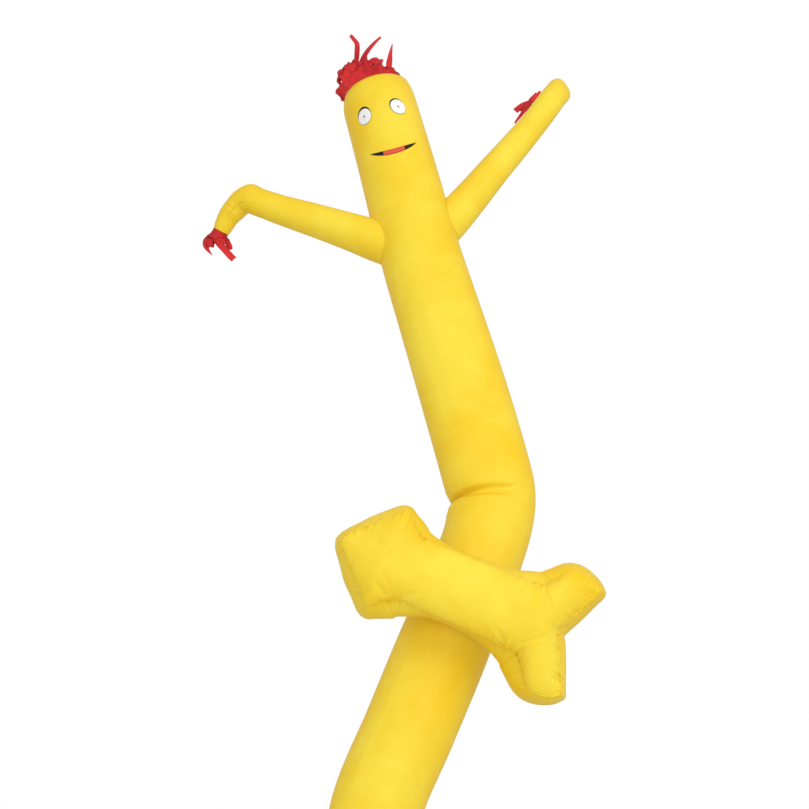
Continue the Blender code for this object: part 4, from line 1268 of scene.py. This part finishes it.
HAIR_LOCKS = (
    # angle, width, end's share of it, bend's offset from the root, end's offset, twist
    (15.0, 0.030, 0.6, -0.03, 0.01, 0.05, -0.05, 0.02, 0.010, 40.0),
    (35.0, 0.034, 0.6, -0.05, -0.03, 0.07, -0.07, -0.03, 0.050, 60.0),
    (55.0, 0.034, 0.6, -0.04, -0.04, 0.07, -0.04, -0.08, 0.060, -40.0),
    (75.0, 0.034, 0.6, -0.02, -0.02, 0.07, 0.02, 0.04, 0.030, 50.0),
    (95.0, 0.034, 0.6, -0.02, -0.04, 0.08, 0.03, -0.08, 0.070, 50.0),
    (115.0, 0.034, 0.6, -0.02, 0.00, 0.07, 0.04, 0.03, 0.050, -50.0),
    (135.0, 0.036, 0.7, -0.03, 0.02, 0.05, 0.02, 0.02, -0.020, 40.0),
    (152.0, 0.036, 0.7, -0.03, 0.02, 0.05, -0.01, 0.00, 0.020, 50.0),
    (165.0, 0.036, 0.8, -0.03, 0.01, 0.02, -0.01, -0.02, 0.010, -40.0),
    (176.0, 0.034, 0.7, -0.02, 0.00, -0.01, 0.014, 0.00, -0.024, 20.0),
    (184.0, 0.034, 0.7, -0.02, 0.00, -0.01, -0.011, 0.00, -0.024, -30.0),
    (193.0, 0.034, 0.6, -0.03, -0.01, -0.01, 0.004, 0.00, -0.032, 40.0),
    (203.0, 0.036, 0.6, -0.03, -0.01, 0.01, -0.018, 0.00, -0.040, -40.0),
    (212.0, 0.036, 0.6, -0.02, 0.00, 0.03, -0.030, 0.00, -0.015, 50.0),
    (219.0, 0.034, 0.4, -0.01, -0.01, 0.02, -0.012, -0.01, 0.020, -30.0),
    (226.0, 0.038, 0.3, 0.00, 0.00, 0.02, -0.008, 0.00, 0.046, 20.0),
    (234.0, 0.032, 0.6, 0.02, -0.02, 0.04, 0.030, -0.02, 0.010, 40.0),
    (241.0, 0.033, 0.8, 0.026, 0.00, 0.180, -0.038, 0.00, 0.210, 25.0),
    (249.0, 0.032, 0.4, 0.045, 0.00, 0.125, 0.124, 0.00, 0.200, 20.0),
    (259.0, 0.026, 0.5, 0.00, 0.00, 0.03, -0.004, 0.00, 0.058, 15.0),
    (268.0, 0.034, 0.6, 0.02, -0.01, 0.04, 0.045, -0.01, 0.006, 30.0),
    (276.0, 0.032, 0.5, 0.01, -0.02, 0.03, 0.030, -0.01, 0.012, -30.0),
    (283.0, 0.030, 0.5, 0.00, 0.00, 0.02, 0.014, 0.00, 0.052, 10.0),
    (300.0, 0.040, 0.12, 0.004, 0.00, 0.08, 0.018, 0.00, 0.172, 5.0),
)
LEFT_HAND_LOCKS = (
    (165.0, 0.048, 0.1, -0.062, 0.00, -0.050, 0.020, 0.00, -0.130, 0.0),
    (140.0, 0.042, 0.7, -0.010, -0.01, -0.040, -0.006, 0.00, -0.078, 10.0),
    (110.0, 0.041, 0.95, 0.050, 0.00, -0.086, 0.128, 0.00, -0.156, 0.0),
    (60.0, 0.036, 0.7, 0.005, -0.01, -0.025, 0.020, 0.00, -0.052, 20.0),
    (12.0, 0.025, 0.9, 0.020, 0.00, -0.020, 0.036, 0.00, -0.082, 10.0),
    (230.0, 0.034, 0.6, -0.010, 0.02, -0.040, -0.010, 0.02, -0.070, 40.0),
    (280.0, 0.032, 0.6, 0.000, 0.03, -0.040, 0.010, 0.03, -0.080, 50.0),
    (320.0, 0.030, 0.5, 0.010, 0.02, -0.030, 0.020, 0.03, -0.070, -40.0),
)
RIGHT_HAND_LOCKS = (
    (262.0, 0.040, 0.70, -0.017, 0.015, 0.050, 0.050, 0.00, 0.100, 10.0),
    (240.0, 0.044, 0.70, -0.023, 0.010, 0.026, 0.035, 0.00, 0.080, 10.0),
    (226.0, 0.042, 0.95, -0.023, -0.015, 0.029, -0.108, 0.00, -0.043, 0.0),
    (213.0, 0.044, 0.70, -0.020, -0.010, 0.015, -0.060, 0.00, -0.050, 10.0),
    (200.0, 0.038, 0.30, -0.016, -0.010, 0.007, -0.105, 0.00, -0.126, 0.0),
    (20.0, 0.030, 0.60, 0.000, 0.04, 0.000, 0.000, 0.07, -0.050, 40.0),
    (60.0, 0.030, 0.60, -0.020, 0.04, -0.010, -0.010, 0.06, -0.070, -50.0),
    (105.0, 0.032, 0.60, -0.020, 0.03, -0.020, -0.030, 0.05, -0.080, 30.0),
    (145.0, 0.032, 0.50, -0.020, 0.03, -0.010, -0.050, 0.02, -0.090, 20.0),
    (310.0, 0.032, 0.60, -0.010, 0.04, 0.010, 0.010, 0.08, 0.020, 60.0),
)
HAIR_BAND_TOP = (
    # angle, height above the head's edge
    (0.0, 0.012),
    (40.0, 0.025),
    (90.0, 0.040),
    (150.0, 0.045),
    (176.0, 0.045),
    (190.0, 0.080),
    (200.0, 0.120),
    (215.0, 0.140),
    (238.0, 0.140),
    (255.0, 0.118),
    (270.0, 0.100),
    (285.0, 0.076),
    (300.0, 0.062),
    (315.0, 0.048),
    (330.0, 0.034),
    (345.0, 0.018),
)
HAIR_HOLE_ANGLE, HAIR_HOLE_HEIGHT, HAIR_HOLE_RADIUS = 206.0, 0.075, 0.022


def hair_top(angle):
    """The hair band's height: highest at the left front, hidden at the right."""
    angles, heights = np.array(HAIR_BAND_TOP).T
    level = np.interp(np.asarray(angle) % 360.0, angles, heights, period=360.0)
    return level + 0.004 * np.sin(np.radians(angle) * 11.0)


def in_hair_hole(points):
    """A gap that the wind has pulled open in the band."""
    centre, along, side, back, radius = head_ring()
    turn = math.radians(HAIR_HOLE_ANGLE)
    outward = side * math.cos(turn) + back * math.sin(turn)
    off = points - (centre + outward * radius + along * HAIR_HOLE_HEIGHT)
    across = off @ np.cross(along, outward)
    return (np.hypot(across, (off @ along) * 1.3) < HAIR_HOLE_RADIUS) & (off @ outward > -0.08)


def left_hand_top(angle):
    return 0.046 + 0.018 * np.cos(np.radians(angle - 165.0)) + 0.003 * np.sin(np.radians(angle) * 5.0)


def right_hand_top(angle):
    return 0.030 + 0.005 * np.sin(np.radians(angle) * 3.0)


hair = fringe(
    "hair_ribbons", head_ring(), HAIR_LOCKS, 0.030, hair_top, 180, 51.0, 0.010, (196.0, 0.022),
    "hair_fringe", in_hair_hole,
)
left_hand = fringe(
    "left_hand_ribbons", cuff_ring(left_arm), LEFT_HAND_LOCKS, 0.020, left_hand_top, 56, 61.0,
    0.006, (180.0, 0.006), "left_hand_fringe",
)
right_hand = fringe(
    "right_hand_ribbons", cuff_ring(right_arm), RIGHT_HAND_LOCKS, 0.020, right_hand_top, 56, 71.0,
    0.006, (226.0, 0.010), "right_hand_fringe",
)

# %% [markdown]
# The photograph is a cut-out on white, so the room is plain: a pale floor, a white sky that
# lights from all round, and one large soft lamp from the right front for the gradient
# across the tube.

# %% Floor and light
FLOOR_SIZE = 60.0
SKY_SEEN = 1.0
SKY_LIGHT = 0.72
LAMP_PLACE = (5.0, -9.0, 5.5)
LAMP_SIZE = 7.0
LAMP_POWER = 345.0
FILL_PLACE = (-3.0, -9.5, 0.9)
FILL_POWER = 210.0

deselect_all()
bpy.ops.mesh.primitive_plane_add(size=FLOOR_SIZE, location=(0.0, 0.0, 0.0))
floor = bpy.context.object
floor.name = "floor"
floor_paint = bpy.data.materials.new("pale_floor")
floor_paint.use_nodes = True
floor_paint.node_tree.nodes["Principled BSDF"].inputs["Base Color"].default_value = (0.82, 0.82, 0.81, 1.0)
floor_paint.node_tree.nodes["Principled BSDF"].inputs["Roughness"].default_value = 0.8
floor.data.materials.append(floor_paint)

world = bpy.data.worlds.new("white_sky")
bpy.context.scene.world = world
world.use_nodes = True
sky = world.node_tree
background = sky.nodes["Background"]
background.inputs["Color"].default_value = (1.0, 1.0, 1.0, 1.0)
rays = add_node(sky, "ShaderNodeLightPath", (-500, 0))
strength = add_node(sky, "ShaderNodeMapRange", (-250, 0))
strength.inputs["To Min"].default_value = SKY_LIGHT
strength.inputs["To Max"].default_value = SKY_SEEN
sky.links.new(rays.outputs["Is Camera Ray"], strength.inputs["Value"])
sky.links.new(strength.outputs["Result"], background.inputs["Strength"])


def soft_lamp(name, place, size, power, aim=(0.0, 0.0, 3.2)):
    bpy.ops.object.light_add(type="AREA", location=place)
    lamp = bpy.context.object
    lamp.name = name
    lamp.data.shape = "DISK"
    lamp.data.size = size
    lamp.data.energy = power
    lamp.rotation_euler = (Vector(aim) - Vector(place)).to_track_quat("-Z", "Y").to_euler()
    return lamp


soft_lamp("key_lamp", LAMP_PLACE, LAMP_SIZE, LAMP_POWER)
soft_lamp("fill_lamp", FILL_PLACE, LAMP_SIZE, FILL_POWER)
bpy.context.scene.view_settings.view_transform = "Standard"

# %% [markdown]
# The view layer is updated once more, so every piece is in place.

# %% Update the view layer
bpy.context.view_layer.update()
